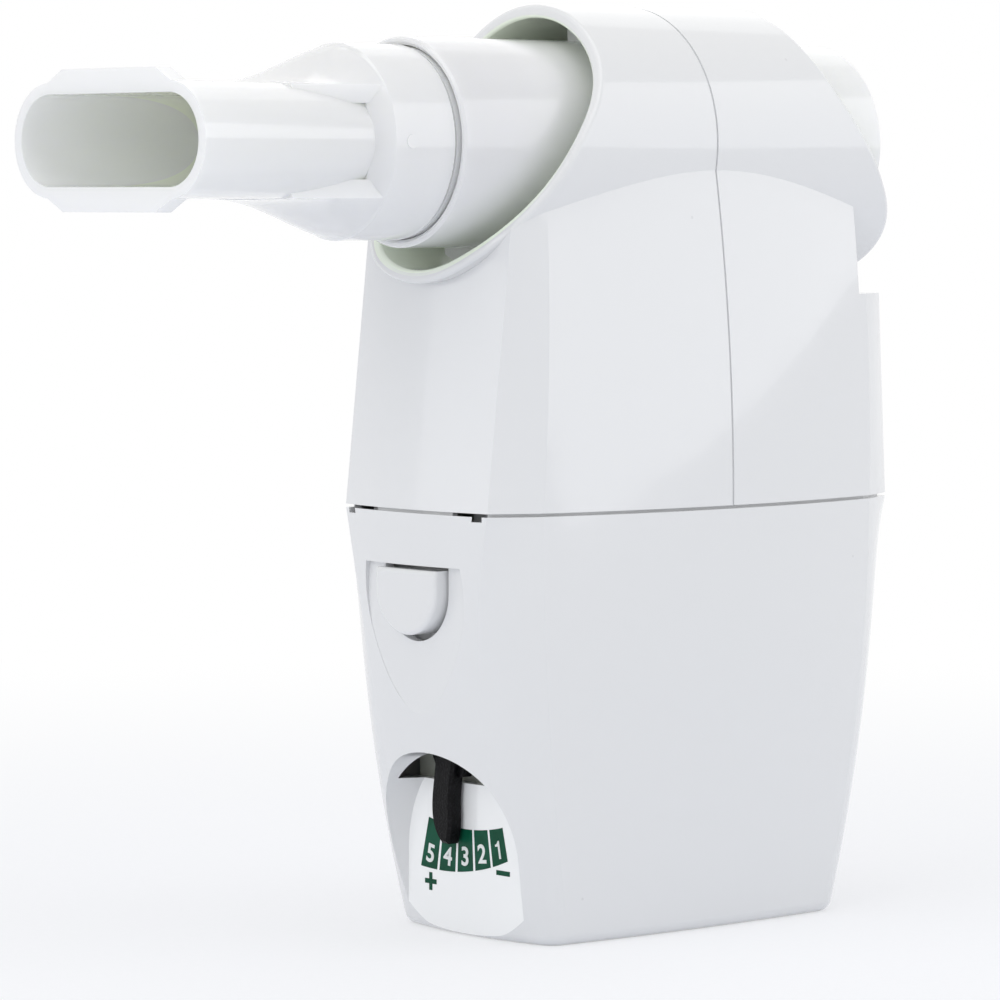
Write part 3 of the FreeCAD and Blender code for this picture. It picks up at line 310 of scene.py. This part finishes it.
class BoreSide(EffectGroup):
    """A mask of the surfaces that face the breathing tube's axis from inside a radius, where bounce light is
    painted.
    """

    name = "bore_side"
    inputs = {"Axis Height": 0.09, "Reach": 0.0156, "Floor": 0.07}
    outputs = ("Mask",)
    least_distance = 0.0001
    grazing = 0.05
    facing_in = 0.5

    @classmethod
    def wire(cls, graph: Graph, given: Sockets, wanted: Sockets) -> None:
        """Compares the surface's own normal with the direction away from the axis.

        Args:
            graph: The group's graph.
            given: The group's inputs.
            wanted: The group's outputs.
        """
        coordinates = graph.add("TexCoord").outputs
        spot = graph.split(coordinates["Object"])
        facing = graph.split(coordinates["Normal"])
        rise = graph.math(Op.SUBTRACT, spot["Z"], given["Axis Height"])
        away_y = graph.math(Op.MULTIPLY, facing["Y"], spot["Y"])
        away_z = graph.math(Op.MULTIPLY, facing["Z"], rise)
        outward = graph.math(Op.ADD, away_y, away_z)
        squared_y = graph.math(Op.MULTIPLY, spot["Y"], spot["Y"])
        squared_z = graph.math(Op.MULTIPLY, rise, rise)
        distance = graph.math(Op.ROOT, graph.math(Op.ADD, squared_y, squared_z))
        cosine = graph.math(Op.DIVIDE, outward, graph.math(Op.LARGER, distance, cls.least_distance))
        inward = graph.ramp(graph.math(Op.MULTIPLY, cosine, -1.0), cls.grazing, cls.facing_in)
        near = graph.math(Op.BELOW, distance, given["Reach"])
        high = graph.math(Op.ABOVE, spot["Z"], given["Floor"])
        within = graph.math(Op.MULTIPLY, inward, near)
        graph.feed(graph.math(Op.MULTIPLY, within, high), wanted["Mask"])


class PrintGround(EffectGroup):
    """A mask of the upright wall that carries the print, at one distance along the tube's axis, which gets a
    brighter white than the casing.
    """

    name = "print_wall"
    inputs = {"Wall": 1.0, "Depth": 0.0002}
    outputs = ("Mask",)
    upright_facing = -0.95

    @classmethod
    def wire(cls, graph: Graph, given: Sockets, wanted: Sockets) -> None:
        """Keeps what lies within the depth of the wall and faces along the axis.

        Args:
            graph: The group's graph.
            given: The group's inputs.
            wanted: The group's outputs.
        """
        coordinates = graph.add("TexCoord").outputs
        spot = graph.split(coordinates["Object"])
        facing = graph.split(coordinates["Normal"])
        away = graph.math(Op.SIZE, graph.math(Op.SUBTRACT, spot["X"], given["Wall"]))
        near = graph.math(Op.BELOW, away, given["Depth"])
        upright = graph.math(Op.BELOW, facing["X"], cls.upright_facing)
        graph.feed(graph.math(Op.MULTIPLY, near, upright), wanted["Mask"])


class Specks(EffectGroup):
    """Rare tiny specks in or on a moulded surface."""

    name = "specks"
    inputs = {"Scale": 260.0, "Size": 0.06}
    outputs = ("Mask",)
    bare_share = 0.94

    @classmethod
    def wire(cls, graph: Graph, given: Sockets, wanted: Sockets) -> None:
        """Keeps the cores of a few cells of a cell texture.

        Args:
            graph: The group's graph.
            given: The group's inputs.
            wanted: The group's outputs.
        """
        where = graph.add("TexCoord").outputs["Object"]
        cells = graph.cells(where, given["Scale"]).outputs
        core = graph.math(Op.BELOW, cells["Distance"], given["Size"])
        rare = graph.math(Op.ABOVE, graph.split(cells["Color"])["X"], cls.bare_share)
        graph.feed(graph.math(Op.MULTIPLY, core, rare), wanted["Mask"])


class SparkGrain(EffectGroup):
    """The spark-eroded grain of a matt black moulding."""

    name = "spark_grain"
    inputs = {"Scale": 3600.0}
    outputs = ("Height", "Glint")
    grain_detail = 4.0
    pit_height = 0.6
    glint_start = 0.52
    glint_full = 0.68

    @classmethod
    def wire(cls, graph: Graph, given: Sockets, wanted: Sockets) -> None:
        """Joins a grain height with a mask of the grains that catch light.

        Args:
            graph: The group's graph.
            given: The group's inputs.
            wanted: The group's outputs.
        """
        where = graph.add("TexCoord").outputs["Object"]
        grain = graph.noise(where, given["Scale"], cls.grain_detail)
        cells = graph.cells(where, given["Scale"]).outputs
        pits = graph.math(Op.MULTIPLY, cells["Distance"], cls.pit_height)
        graph.feed(graph.math(Op.ADD, grain, pits), wanted["Height"])
        graph.feed(graph.ramp(grain, cls.glint_start, cls.glint_full), wanted["Glint"])


def new_material(name: str) -> tuple[bpy.types.Material, Graph, bpy.types.Node]:
    """Makes a material with an empty Principled shader.

    Args:
        name: The material's name.

    Returns:
        The material, its graph and its shader node.
    """
    material = bpy.data.materials.new(name)
    material.use_nodes = True
    material.node_tree.nodes.clear()
    graph = Graph(material.node_tree)
    shader = graph.add("BsdfPrincipled")
    output = graph.add("OutputMaterial")
    graph.feed(shader.outputs["BSDF"], output.inputs["Surface"])
    return material, graph, shader


def add_bump(graph: Graph, shader: bpy.types.Node, height: Socket, distance: float, strength: float) -> None:
    """Feeds a height through a Bump node to the shader's normal.

    Args:
        graph: The material's graph.
        shader: The Principled shader.
        height: The height's socket.
        distance: How deep a height of 1 is, in metres.
        strength: The bump's strength, from 0 to 1.
    """
    bump = graph.add("Bump")
    bump.inputs["Distance"].default_value = distance
    bump.inputs["Strength"].default_value = strength
    graph.feed(height, bump.inputs["Height"])
    graph.feed(bump.outputs["Normal"], shader.inputs["Normal"])


@dataclass(frozen=True)
class Texture:
    """The ripple and polish of a surface: their scale, their depth and what they do to its gloss."""

    ripple_scale: float = 160.0
    polish_scale: float = 1400.0
    roughness: float = 0.16
    spread: float = 0.2
    depth: float = 0.00001
    strength: float = 0.5
    dark_below: float = 0.3
    light_above: float = 0.8

    def lay(self, graph: Graph, shader: bpy.types.Node) -> Socket:
        """Gives a shader its uneven roughness and its bump.

        Args:
            graph: The material's graph.
            shader: The Principled shader.

        Returns:
            The socket of the surface's height.
        """
        skin = MouldedSkin.place(graph, Ripple_Scale=self.ripple_scale, Polish_Scale=self.polish_scale)
        shift = graph.math(Op.MULTIPLY, skin["Roughness Shift"], self.spread)
        graph.feed(graph.math(Op.ADD, shift, self.roughness, clamp=True), shader.inputs["Roughness"])
        add_bump(graph, shader, skin["Height"], self.depth, self.strength)
        return skin["Height"]

    def tone(self, graph: Graph, height: Socket, dark: Colour, light: Colour) -> Socket:
        """Mixes two tones of a colour by the surface's height.

        Args:
            graph: The material's graph.
            height: The socket of the surface's height.
            dark: The colour of the hollows.
            light: The colour of the rises.

        Returns:
            The mixed colour's socket.
        """
        return graph.mix(graph.ramp(height, self.dark_below, self.light_above), dark, light)


@dataclass(frozen=True)
class GlossFinish:
    """Glossy moulded plastic, with painted bounce light: a brighter pale green on the surfaces that face the
    tube's axis.
    """

    name: str
    colour: Colour
    # painted bounce light: the brighter pale green of the surfaces that face the tube's axis
    inner_colour: Colour
    roughness: float
    ripple: float = 0.000012
    roughness_spread: float = 0.12
    bump_strength: float = 0.6
    reach: float = 15.6 * MM
    tube_axis: float = 94.2 * MM
    glow_depth: float = 0.0
    glow_weight: float = 0.6
    glow_radius: tuple[float, float, float] = (1.0, 1.0, 0.9)
    ground_x: float = 1.0
    # a brighter white than the casing, laid on the recess wall behind the print
    ground_colour: Colour = display(250, 251, 251)
    speck_tone: float = 0.55
    speck_strength: float = 0.2
    refraction: float = 1.5
    coat: float = 0.5
    coat_roughness: float = 0.03

    def build(self) -> bpy.types.Material:
        """Builds the material.

        Returns:
            The new material.
        """
        material, graph, shader = new_material(self.name)
        texture = Texture(roughness=self.roughness, spread=self.roughness_spread, depth=self.ripple,
                          strength=self.bump_strength)
        texture.lay(graph, shader)
        graph.feed(self.tint(graph), shader.inputs["Base Color"])
        shader.inputs["IOR"].default_value = self.refraction
        shader.inputs["Coat Weight"].default_value = self.coat
        shader.inputs["Coat Roughness"].default_value = self.coat_roughness
        if self.glow_depth > 0:
            shader.inputs["Subsurface Weight"].default_value = self.glow_weight
            shader.inputs["Subsurface Radius"].default_value = self.glow_radius
            shader.inputs["Subsurface Scale"].default_value = self.glow_depth
        return material

    def tint(self, graph: Graph) -> Socket:
        """Lays the painted bounce light inside the bore, a brighter white on the recess wall and the specks
        over the plain colour.

        Args:
            graph: The material's graph.

        Returns:
            The colour's socket.
        """
        bore = BoreSide.place(graph, Axis_Height=self.tube_axis, Reach=self.reach)
        brighter_wall = PrintGround.place(graph, Wall=self.ground_x)
        specks = Specks.place(graph)
        # painted bounce light: a brighter pale green where surfaces face the tube's axis
        tint = graph.mix(bore["Mask"], self.colour, self.inner_colour)
        # the recess wall behind the print is made brighter than the casing
        tint = graph.mix(brighter_wall["Mask"], tint, self.ground_colour)
        faint = graph.math(Op.MULTIPLY, specks["Mask"], self.speck_strength)
        return graph.mix(faint, tint, dimmed(self.colour, self.speck_tone))


@dataclass(frozen=True)
class GrainFinish:
    """Matt plastic with a spark-eroded grain."""

    name: str
    colour: Colour
    glint_colour: Colour
    roughness: float = 0.42
    glint_shine: float = -0.18
    reflection: float = 0.12
    depth: float = 0.00006
    strength: float = 0.8

    def build(self) -> bpy.types.Material:
        """Builds the material.

        Returns:
            The new material.
        """
        material, graph, shader = new_material(self.name)
        grain = SparkGrain.place(graph)
        tone = graph.mix(grain["Glint"], self.colour, self.glint_colour)
        graph.feed(tone, shader.inputs["Base Color"])
        shine = graph.math(Op.MULTIPLY, grain["Glint"], self.glint_shine)
        graph.feed(graph.math(Op.ADD, shine, self.roughness, clamp=True), shader.inputs["Roughness"])
        shader.inputs["Specular IOR Level"].default_value = self.reflection
        add_bump(graph, shader, grain["Height"], self.depth, self.strength)
        return material


@dataclass(frozen=True)
class InkFinish:
    """Pad-printed ink, a little uneven in tone."""

    name: str
    colour: Colour
    light_colour: Colour
    reflection: float = 0.15
    texture: Texture = Texture(420.0, 5200.0, roughness=0.32, dark_below=0.4, light_above=0.7)

    def build(self) -> bpy.types.Material:
        """Builds the material.

        Returns:
            The new material.
        """
        material, graph, shader = new_material(self.name)
        height = self.texture.lay(graph, shader)
        tone = self.texture.tone(graph, height, self.colour, self.light_colour)
        graph.feed(tone, shader.inputs["Base Color"])
        shader.inputs["Specular IOR Level"].default_value = self.reflection
        return material


@dataclass(frozen=True)
class SteelFinish:
    """Ground steel, a little uneven in tone."""

    name: str
    colour: Colour
    hollow_tone: float = 0.8
    texture: Texture = Texture(900.0, 7000.0, roughness=0.28, depth=0.000005)

    def build(self) -> bpy.types.Material:
        """Builds the material.

        Returns:
            The new material.
        """
        material, graph, shader = new_material(self.name)
        height = self.texture.lay(graph, shader)
        tone = self.texture.tone(graph, height, dimmed(self.colour, self.hollow_tone), self.colour)
        graph.feed(tone, shader.inputs["Base Color"])
        shader.inputs["Metallic"].default_value = 1.0
        return material


@dataclass(frozen=True)
class RubberFinish:
    """Soft translucent silicone."""

    name: str
    colour: Colour
    hollow_tone: float = 0.86
    glow_weight: float = 0.3
    glow_radius: float = 1.0 * MM
    texture: Texture = Texture(300.0, 3000.0, roughness=0.45, depth=0.00002)

    def build(self) -> bpy.types.Material:
        """Builds the material.

        Returns:
            The new material.
        """
        material, graph, shader = new_material(self.name)
        height = self.texture.lay(graph, shader)
        tone = self.texture.tone(graph, height, dimmed(self.colour, self.hollow_tone), self.colour)
        graph.feed(tone, shader.inputs["Base Color"])
        shader.inputs["Subsurface Weight"].default_value = self.glow_weight
        shader.inputs["Subsurface Radius"].default_value = (self.glow_radius,) * 3
        return material


class Finishes:
    """Every finish of the device, each built once."""

    def __init__(self) -> None:
        """Builds the materials."""
        # painted bounce light: the pale green of surfaces facing the tube's axis, brighter than the shells
        bore_light_green = display(244, 252, 236)
        self.casing = GlossFinish("casing_gloss", display(230, 231, 232), bore_light_green, 0.12,
                                  ground_x=ResistanceScale().wall_x).build()
        # painted light: the tube's and mouthpiece's white is lighter than the casing's to make up for shade
        # under the hood, and its bore colour is painted bounce light
        self.tube = GlossFinish("tube_gloss", display(240, 241, 241), display(246, 253, 234), 0.12,
                                reach=11.2 * MM, glow_depth=4.0 * MM).build()
        # painted shade: the inner parts' greenish grey stands in for the shade inside the device
        self.inner = GlossFinish("inner_satin", display(222, 226, 214), bore_light_green, 0.38,
                                 ripple=0.00003).build()
        self.lever = GrainFinish("lever_grain", display(10, 10, 12), display(32, 32, 35)).build()
        self.green_ink = InkFinish("scale_green", display(4, 72, 50), display(12, 82, 60)).build()
        self.white_ink = InkFinish("scale_white", display(226, 230, 228), display(236, 239, 238)).build()
        self.steel = SteelFinish("shaft_steel", display(196, 197, 199)).build()
        self.silicone = RubberFinish("soft_silicone", display(214, 220, 208)).build()


@dataclass
class CarriedNodes:
    """Nodes of the frame that keep their shape and get a finish."""

    names: tuple[str, ...]
    material: bpy.types.Material

    def dress(self) -> None:
        """Puts the finish in every material slot of the nodes."""
        for name in self.names:
            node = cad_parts[name]
            for slot in node.material_slots:
                slot.material = self.material
            log.info("dressed %s with %s", name, self.material.name)


def new_piece(name: str, mesh: bpy.types.Mesh, material: bpy.types.Material, rider: Rider) -> None:
    """Makes a mesh into a piece that rides on a body.

    Args:
        name: The piece's name.
        mesh: Its mesh, in the frame's metres.
        material: Its finish.
        rider: The body that it rides on.
    """
    piece = bpy.data.objects.new(name, mesh)
    bpy.context.scene.collection.objects.link(piece)
    mesh.materials.clear()
    mesh.materials.append(material)
    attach(piece, rider.value)
    log.info("built %s on %s", name, rider.value)


@dataclass
class ResistanceScale:
    """The print behind the lever: five green sectors with numbers, a plus and a minus.

    The sectors lie round the shaft that the lever turns on. Angles are in degrees from straight
    down, and outlines are in Y and Z. Figures fill numeral_share of their font's size.
    """

    shaft_height: float = 41.0 * MM
    inner_radius: float = 28.2 * MM
    outer_radius: float = 33.3 * MM
    outer_growth: float = 0.078 * MM
    marks: int = 5
    pitch: float = 5.7
    sector_span: float = 4.95
    arc_steps: int = 12
    numeral_height: float = 2.15 * MM
    numeral_drop: float = 1.72 * MM
    numeral_share: float = 0.69
    numeral_boldness: float = 0.022
    curve_steps: int = 6
    one_glyph: tuple[Point, ...] = (
        (0.0, -0.5), (0.15, -0.5), (0.15, 0.5), (0.04, 0.5), (-0.02, 0.4), (-0.1, 0.34),
        (-0.22, 0.31), (-0.22, 0.2), (0.0, 0.2),
    )
    film: float = 0.04 * MM
    finger_thickness: float = 1.8 * MM
    finger_lift: float = 0.5 * MM
    plus_centre: Point = (6.44 * MM, 5.89 * MM)
    plus_length: float = 2.15 * MM
    minus_centre: Point = (-6.89 * MM, 8.23 * MM)
    minus_length: float = 2.45 * MM
    bar_width: float = 0.58 * MM
    slot: str = "casing_white"
    wall_x: float = field(init=False)

    def __post_init__(self) -> None:
        """Works out where the recess wall is from the lever that stands in front of it."""
        self.wall_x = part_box("resistance_lever")[0].x + self.finger_thickness + self.finger_lift

    def outer(self, degrees: float) -> float:
        """Returns the outer radius at an angle, which grows towards the highest number."""
        return self.outer_radius + self.outer_growth * degrees

    def place(self, radius: float, degrees: float) -> Point:
        """Returns the Y and Z of a point at a radius and an angle from straight down."""
        turn = math.radians(degrees)
        return radius * math.sin(turn), self.shaft_height - radius * math.cos(turn)

    def plate(self, outline: list[Point], layer: int) -> bpy.types.Mesh:
        """Makes a thin film from an outline on the wall.

        Args:
            outline: Points of Y and Z, in order round the outline.
            layer: How many films lie under this one.

        Returns:
            The film's mesh.
        """
        mesh = bpy.data.meshes.new("film")
        shape = bmesh.new()
        low = self.wall_x - layer * self.film
        face = shape.faces.new([shape.verts.new((low, y, z)) for y, z in outline])
        lifted = bmesh.ops.extrude_face_region(shape, geom=[face])
        moved = [item for item in lifted["geom"] if isinstance(item, bmesh.types.BMVert)]
        bmesh.ops.translate(shape, verts=moved, vec=(-self.film, 0, 0))
        bmesh.ops.recalc_face_normals(shape, faces=shape.faces)
        shape.to_mesh(mesh)
        shape.free()
        return mesh

    def sector_outline(self, centre: float) -> list[Point]:
        """Draws a sector.

        Args:
            centre: The angle of its middle.

        Returns:
            The inner arc's points and then the outer arc's, back again.
        """
        start = centre - self.sector_span / 2
        angles = [start + self.sector_span * step / self.arc_steps for step in range(self.arc_steps + 1)]
        inner = [self.place(self.inner_radius, angle) for angle in angles]
        outer = [self.place(self.outer(angle), angle) for angle in reversed(angles)]
        return inner + outer

    def minus_outline(self) -> list[Point]:
        """Draws the minus sign.

        Returns:
            The bar's four corners.
        """
        y, z = self.minus_centre
        arm, half = self.minus_length / 2, self.bar_width / 2
        return [(y - arm, z - half), (y + arm, z - half), (y + arm, z + half), (y - arm, z + half)]

    def plus_outline(self) -> list[Point]:
        """Draws the plus sign, one arm after another.

        Returns:
            Its twelve corners, in order round it.
        """
        y, z = self.plus_centre
        arm, half = self.plus_length / 2, self.bar_width / 2
        points = []
        for quarter in range(4):
            for along, across in ((arm, -half), (arm, half), (half, half)):
                for _ in range(quarter):
                    along, across = -across, along
                points.append((y + along, z + across))
        return points

    def numeral_mesh(self, text: str, degrees: float) -> bpy.types.Mesh:
        """Makes a numeral that stands radially in its sector.

        Args:
            text: The numeral.
            degrees: The angle of its sector.

        Returns:
            The numeral's mesh, in place.
        """
        curve = bpy.data.curves.new("numeral", "FONT")
        curve.body = text
        curve.size = self.numeral_height / self.numeral_share
        curve.offset = self.numeral_boldness * curve.size
        curve.extrude = self.film / 2
        curve.align_x = "CENTER"
        curve.align_y = "CENTER"
        curve.resolution_u = self.curve_steps
        holder = bpy.data.objects.new("numeral_text", curve)
        bpy.context.scene.collection.objects.link(holder)
        bpy.context.view_layer.update()
        mesh = bpy.data.meshes.new_from_object(holder.evaluated_get(bpy.context.evaluated_depsgraph_get()))
        bpy.data.objects.remove(holder)
        bpy.data.curves.remove(curve)
        y, z = self.place(self.outer(degrees) - self.numeral_drop, degrees)
        facing = Matrix(((0, 0, -1), (-1, 0, 0), (0, 1, 0))).to_4x4()
        lean = Matrix.Rotation(math.radians(degrees), 4, "X")
        on_sector = self.film + self.film / 2
        spot = Matrix.Translation((self.wall_x - on_sector, y, z))
        mesh.transform(spot @ lean @ facing)
        return mesh

    def flagged_one(self, degrees: float) -> bpy.types.Mesh:
        """Makes the numeral 1 with its flag.

        Args:
            degrees: The angle of its sector.

        Returns:
            The numeral's mesh, in place.
        """
        turn = math.radians(degrees)
        y, z = self.place(self.outer(degrees) - self.numeral_drop, degrees)
        outline = []
        for across, rise in self.one_glyph:
            across, rise = across * self.numeral_height, rise * self.numeral_height
            outline.append((y - across * math.cos(turn) - rise * math.sin(turn),
                            z - across * math.sin(turn) + rise * math.cos(turn)))
        return self.plate(outline, 1)

    def build(self, finishes: Finishes) -> None:
        """Builds the sectors, numerals and signs.

        Args:
            finishes: The device's finishes.
        """
        middle = (self.marks + 1) // 2
        for number in range(1, self.marks + 1):
            angle = self.pitch * (number - middle)
            sector = self.plate(self.sector_outline(angle), 0)
            new_piece(f"scale_sector_{number}", sector, finishes.green_ink, Rider.DEVICE)
            numeral = self.flagged_one(angle) if number == 1 else self.numeral_mesh(str(number), angle)
            new_piece(f"scale_numeral_{number}", numeral, finishes.white_ink, Rider.DEVICE)
        for name, outline in (("scale_plus", self.plus_outline()), ("scale_minus", self.minus_outline())):
            new_piece(name, self.plate(outline, 0), finishes.green_ink, Rider.DEVICE)


@dataclass
class Casing:
    """The lower casing, the two upper shells and the latches, with the print in the recess."""

    shells: tuple[str, ...] = ("lower_casing", "upper_casing_front", "upper_casing_rear",
                               "front_latch", "rear_latch")
    scale: ResistanceScale = field(default_factory=ResistanceScale)

    def dress(self, finishes: Finishes) -> None:
        """Dresses the shells and builds the print."""
        CarriedNodes(self.shells, finishes.casing).dress()
        self.scale.build(finishes)


@dataclass
class AirPath:
    """The mouthpiece, the breathing tube and the inhalation valve."""

    tubes: tuple[str, ...] = ("mouthpiece", "breathing_tube")
    seat: tuple[str, ...] = ("valve_seat",)
    soft: tuple[str, ...] = ("valve_flap", "tube_gasket")

    def dress(self, finishes: Finishes) -> None:
        """Dresses the pieces that the breath passes.

        Args:
            finishes: The device's finishes.
        """
        CarriedNodes(self.tubes, finishes.tube).dress()
        CarriedNodes(self.seat, finishes.inner).dress()
        CarriedNodes(self.soft, finishes.silicone).dress()


@dataclass
class Oscillator:
    """The chamber with its rotor, nozzle and resistance lever."""

    moulded: tuple[str, ...] = ("chamber_lower", "chamber_upper", "bulkhead_bush", "rear_bush", "vane",
                                "restrictor", "nozzle_retainer")
    soft: tuple[str, ...] = ("chamber_seal", "variable_nozzle")
    shaft: tuple[str, ...] = ("rotor_shaft",)
    lever: tuple[str, ...] = ("resistance_lever",)

    def dress(self, finishes: Finishes) -> None:
        """Dresses the oscillator's pieces.

        Args:
            finishes: The device's finishes.
        """
        CarriedNodes(self.moulded, finishes.inner).dress()
        CarriedNodes(self.soft, finishes.silicone).dress()
        CarriedNodes(self.shaft, finishes.steel).dress()
        CarriedNodes(self.lever, finishes.lever).dress()


@dataclass(frozen=True)
class Softbox:
    """A rectangular studio lamp, in metres, watts and degrees."""

    name: str
    place: tuple[float, float, float]
    width: float
    height: float
    power: float
    aim: tuple[float, float, float] = (0.0, 0.0, 0.06)
    roll: float = 0.0

    def build(self) -> None:
        """Builds the lamp and points it at its aim."""
        lamp = bpy.data.lights.new(self.name, "AREA")
        lamp.shape = "RECTANGLE"
        lamp.size = self.width
        lamp.size_y = self.height
        lamp.energy = self.power
        holder = bpy.data.objects.new(self.name, lamp)
        bpy.context.scene.collection.objects.link(holder)
        holder.location = self.place
        toward = Vector(self.aim) - Vector(self.place)
        turn = toward.to_track_quat("-Z", "Y") @ Quaternion((0, 0, 1), math.radians(self.roll))
        holder.rotation_euler = turn.to_euler()


@dataclass
class Studio:
    """The floor, the white surroundings, the lamps and the camera."""

    floor_half: float = 6.0
    shadow_start: float = 0.06
    shadow_reach: float = 0.34
    floor_glow: float = 0.55
    paper_scale: float = 900.0
    paper_detail: float = 3.0
    paper_dark: Colour = display(238, 241, 248)
    paper_light: Colour = display(244, 246, 252)
    white: Colour = (1.0, 1.0, 1.0, 1.0)
    ambient: float = 0.63
    ambient_colour: Colour = (0.995, 0.995, 1.0, 1.0)
    camera_place: tuple[float, float, float] = (-0.3988, -0.4434, 0.0889)
    camera_aim: tuple[float, float, float] = (-0.0193, 0.0, 0.0518)
    lens: float = 176.7
    sensor: float = 36.0
    nearest: float = 0.02
    farthest: float = 50.0
    lamps: tuple[Softbox, ...] = (
        Softbox("lamp_overhead", (-0.2, -0.1, 1.2), 1.1, 0.9, 3.4),
        Softbox("lamp_front", (-0.76, 0.5, 0.42), 0.42, 0.6, 0.42, aim=(0.0, 0.0, 0.42)),
        Softbox("lamp_side", (0.36, -0.47, 0.27), 0.66, 0.42, 0.8, aim=(0.0, -0.1, 0.27), roll=14.0),
        Softbox("lamp_mouth", (-1.1, -0.2, 0.45), 0.8, 0.7, 2.4),
        Softbox("lamp_rear", (0.9, 0.6, 0.6), 0.8, 0.8, 0.6),
    )

    def build(self) -> None:
        """Builds everything round the device."""
        self.build_floor()
        self.build_world()
        for lamp in self.lamps:
            lamp.build()
        self.build_camera()
        bpy.context.scene.view_settings.view_transform = "Standard"
        log.info("built the studio with %d lamps", len(self.lamps))

    def as_background(self, graph: Graph, amount: object) -> Socket:
        """Masks what a ray sees as background.

        Args:
            graph: The graph of a material or the world.
            amount: The mask's value where the background shows.

        Returns:
            A socket that is the amount on camera, glossy and transmission rays, and else 0.
        """
        path = graph.add("LightPath").outputs
        seen = graph.math(Op.LARGER, path["Is Camera Ray"], path["Is Glossy Ray"])
        seen = graph.math(Op.LARGER, seen, path["Is Transmission Ray"])
        return graph.math(Op.MULTIPLY, seen, amount)

    def floor_material(self) -> bpy.types.Material:
        """Builds the floor's paper, which turns plain white away from the device.

        Returns:
            The new material.
        """
        material = bpy.data.materials.new("floor_white")
        material.use_nodes = True
        material.node_tree.nodes.clear()
        graph = Graph(material.node_tree)
        where = graph.add("TexCoord").outputs["Object"]
        length = graph.add("VectorMath", operation="LENGTH")
        graph.feed(where, length.inputs[0])
        far = graph.ramp(length.outputs["Value"], self.shadow_start, self.shadow_reach)
        amount = graph.math(Op.ADD, graph.math(Op.MULTIPLY, far, 1.0 - self.floor_glow), self.floor_glow)
        diffuse = graph.add("BsdfDiffuse")
        paper = graph.noise(where, self.paper_scale, self.paper_detail)
        graph.feed(graph.mix(paper, self.paper_dark, self.paper_light), diffuse.inputs["Color"])
        glow = graph.add("Emission")
        glow.inputs["Strength"].default_value = 1.0
        blend = graph.add("MixShader")
        graph.feed(self.as_background(graph, amount), blend.inputs["Fac"])
        graph.feed(diffuse.outputs[0], blend.inputs[1])
        graph.feed(glow.outputs[0], blend.inputs[2])
        output = graph.add("OutputMaterial")
        graph.feed(blend.outputs[0], output.inputs["Surface"])
        return material

    def build_floor(self) -> None:
        """Builds the pale floor, which keeps the device's shadow."""
        mesh = bpy.data.meshes.new("floor")
        half = self.floor_half
        square = [(-half, -half, 0), (half, -half, 0), (half, half, 0), (-half, half, 0)]
        mesh.from_pydata(square, [], [(0, 1, 2, 3)])
        mesh.materials.append(self.floor_material())
        floor = bpy.data.objects.new("floor", mesh)
        bpy.context.scene.collection.objects.link(floor)

    def build_world(self) -> None:
        """Builds the surroundings: a white background, and a soft plain light on the device."""
        world = bpy.data.worlds.new("studio")
        world.use_nodes = True
        bpy.context.scene.world = world
        world.node_tree.nodes.clear()
        graph = Graph(world.node_tree)
        light = graph.add("Background")
        light.inputs["Color"].default_value = self.ambient_colour
        light.inputs["Strength"].default_value = self.ambient
        backdrop = graph.add("Background")
        backdrop.inputs["Color"].default_value = self.white
        backdrop.inputs["Strength"].default_value = 1.0
        blend = graph.add("MixShader")
        graph.feed(self.as_background(graph, 1.0), blend.inputs["Fac"])
        graph.feed(light.outputs[0], blend.inputs[1])
        graph.feed(backdrop.outputs[0], blend.inputs[2])
        output = graph.add("OutputWorld")
        graph.feed(blend.outputs[0], output.inputs["Surface"])

    def build_camera(self) -> None:
        """Builds the camera at the photograph's angle."""
        data = bpy.data.cameras.new("camera")
        data.lens = self.lens
        data.sensor_width = self.sensor
        data.clip_start = self.nearest
        data.clip_end = self.farthest
        camera = bpy.data.objects.new("camera", data)
        bpy.context.scene.collection.objects.link(camera)
        camera.location = self.camera_place
        toward = Vector(self.camera_aim) - Vector(self.camera_place)
        camera.rotation_euler = toward.to_track_quat("-Z", "Y").to_euler()
        bpy.context.scene.camera = camera


def main() -> None:
    """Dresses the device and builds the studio."""
    logging.basicConfig(level=logging.INFO, format="%(name)s: %(message)s")
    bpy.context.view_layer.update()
    finishes = Finishes()
    for assembly in (Casing(), AirPath(), Oscillator()):
        assembly.dress(finishes)
    Studio().build()


if __name__ == "__main__":
    main()
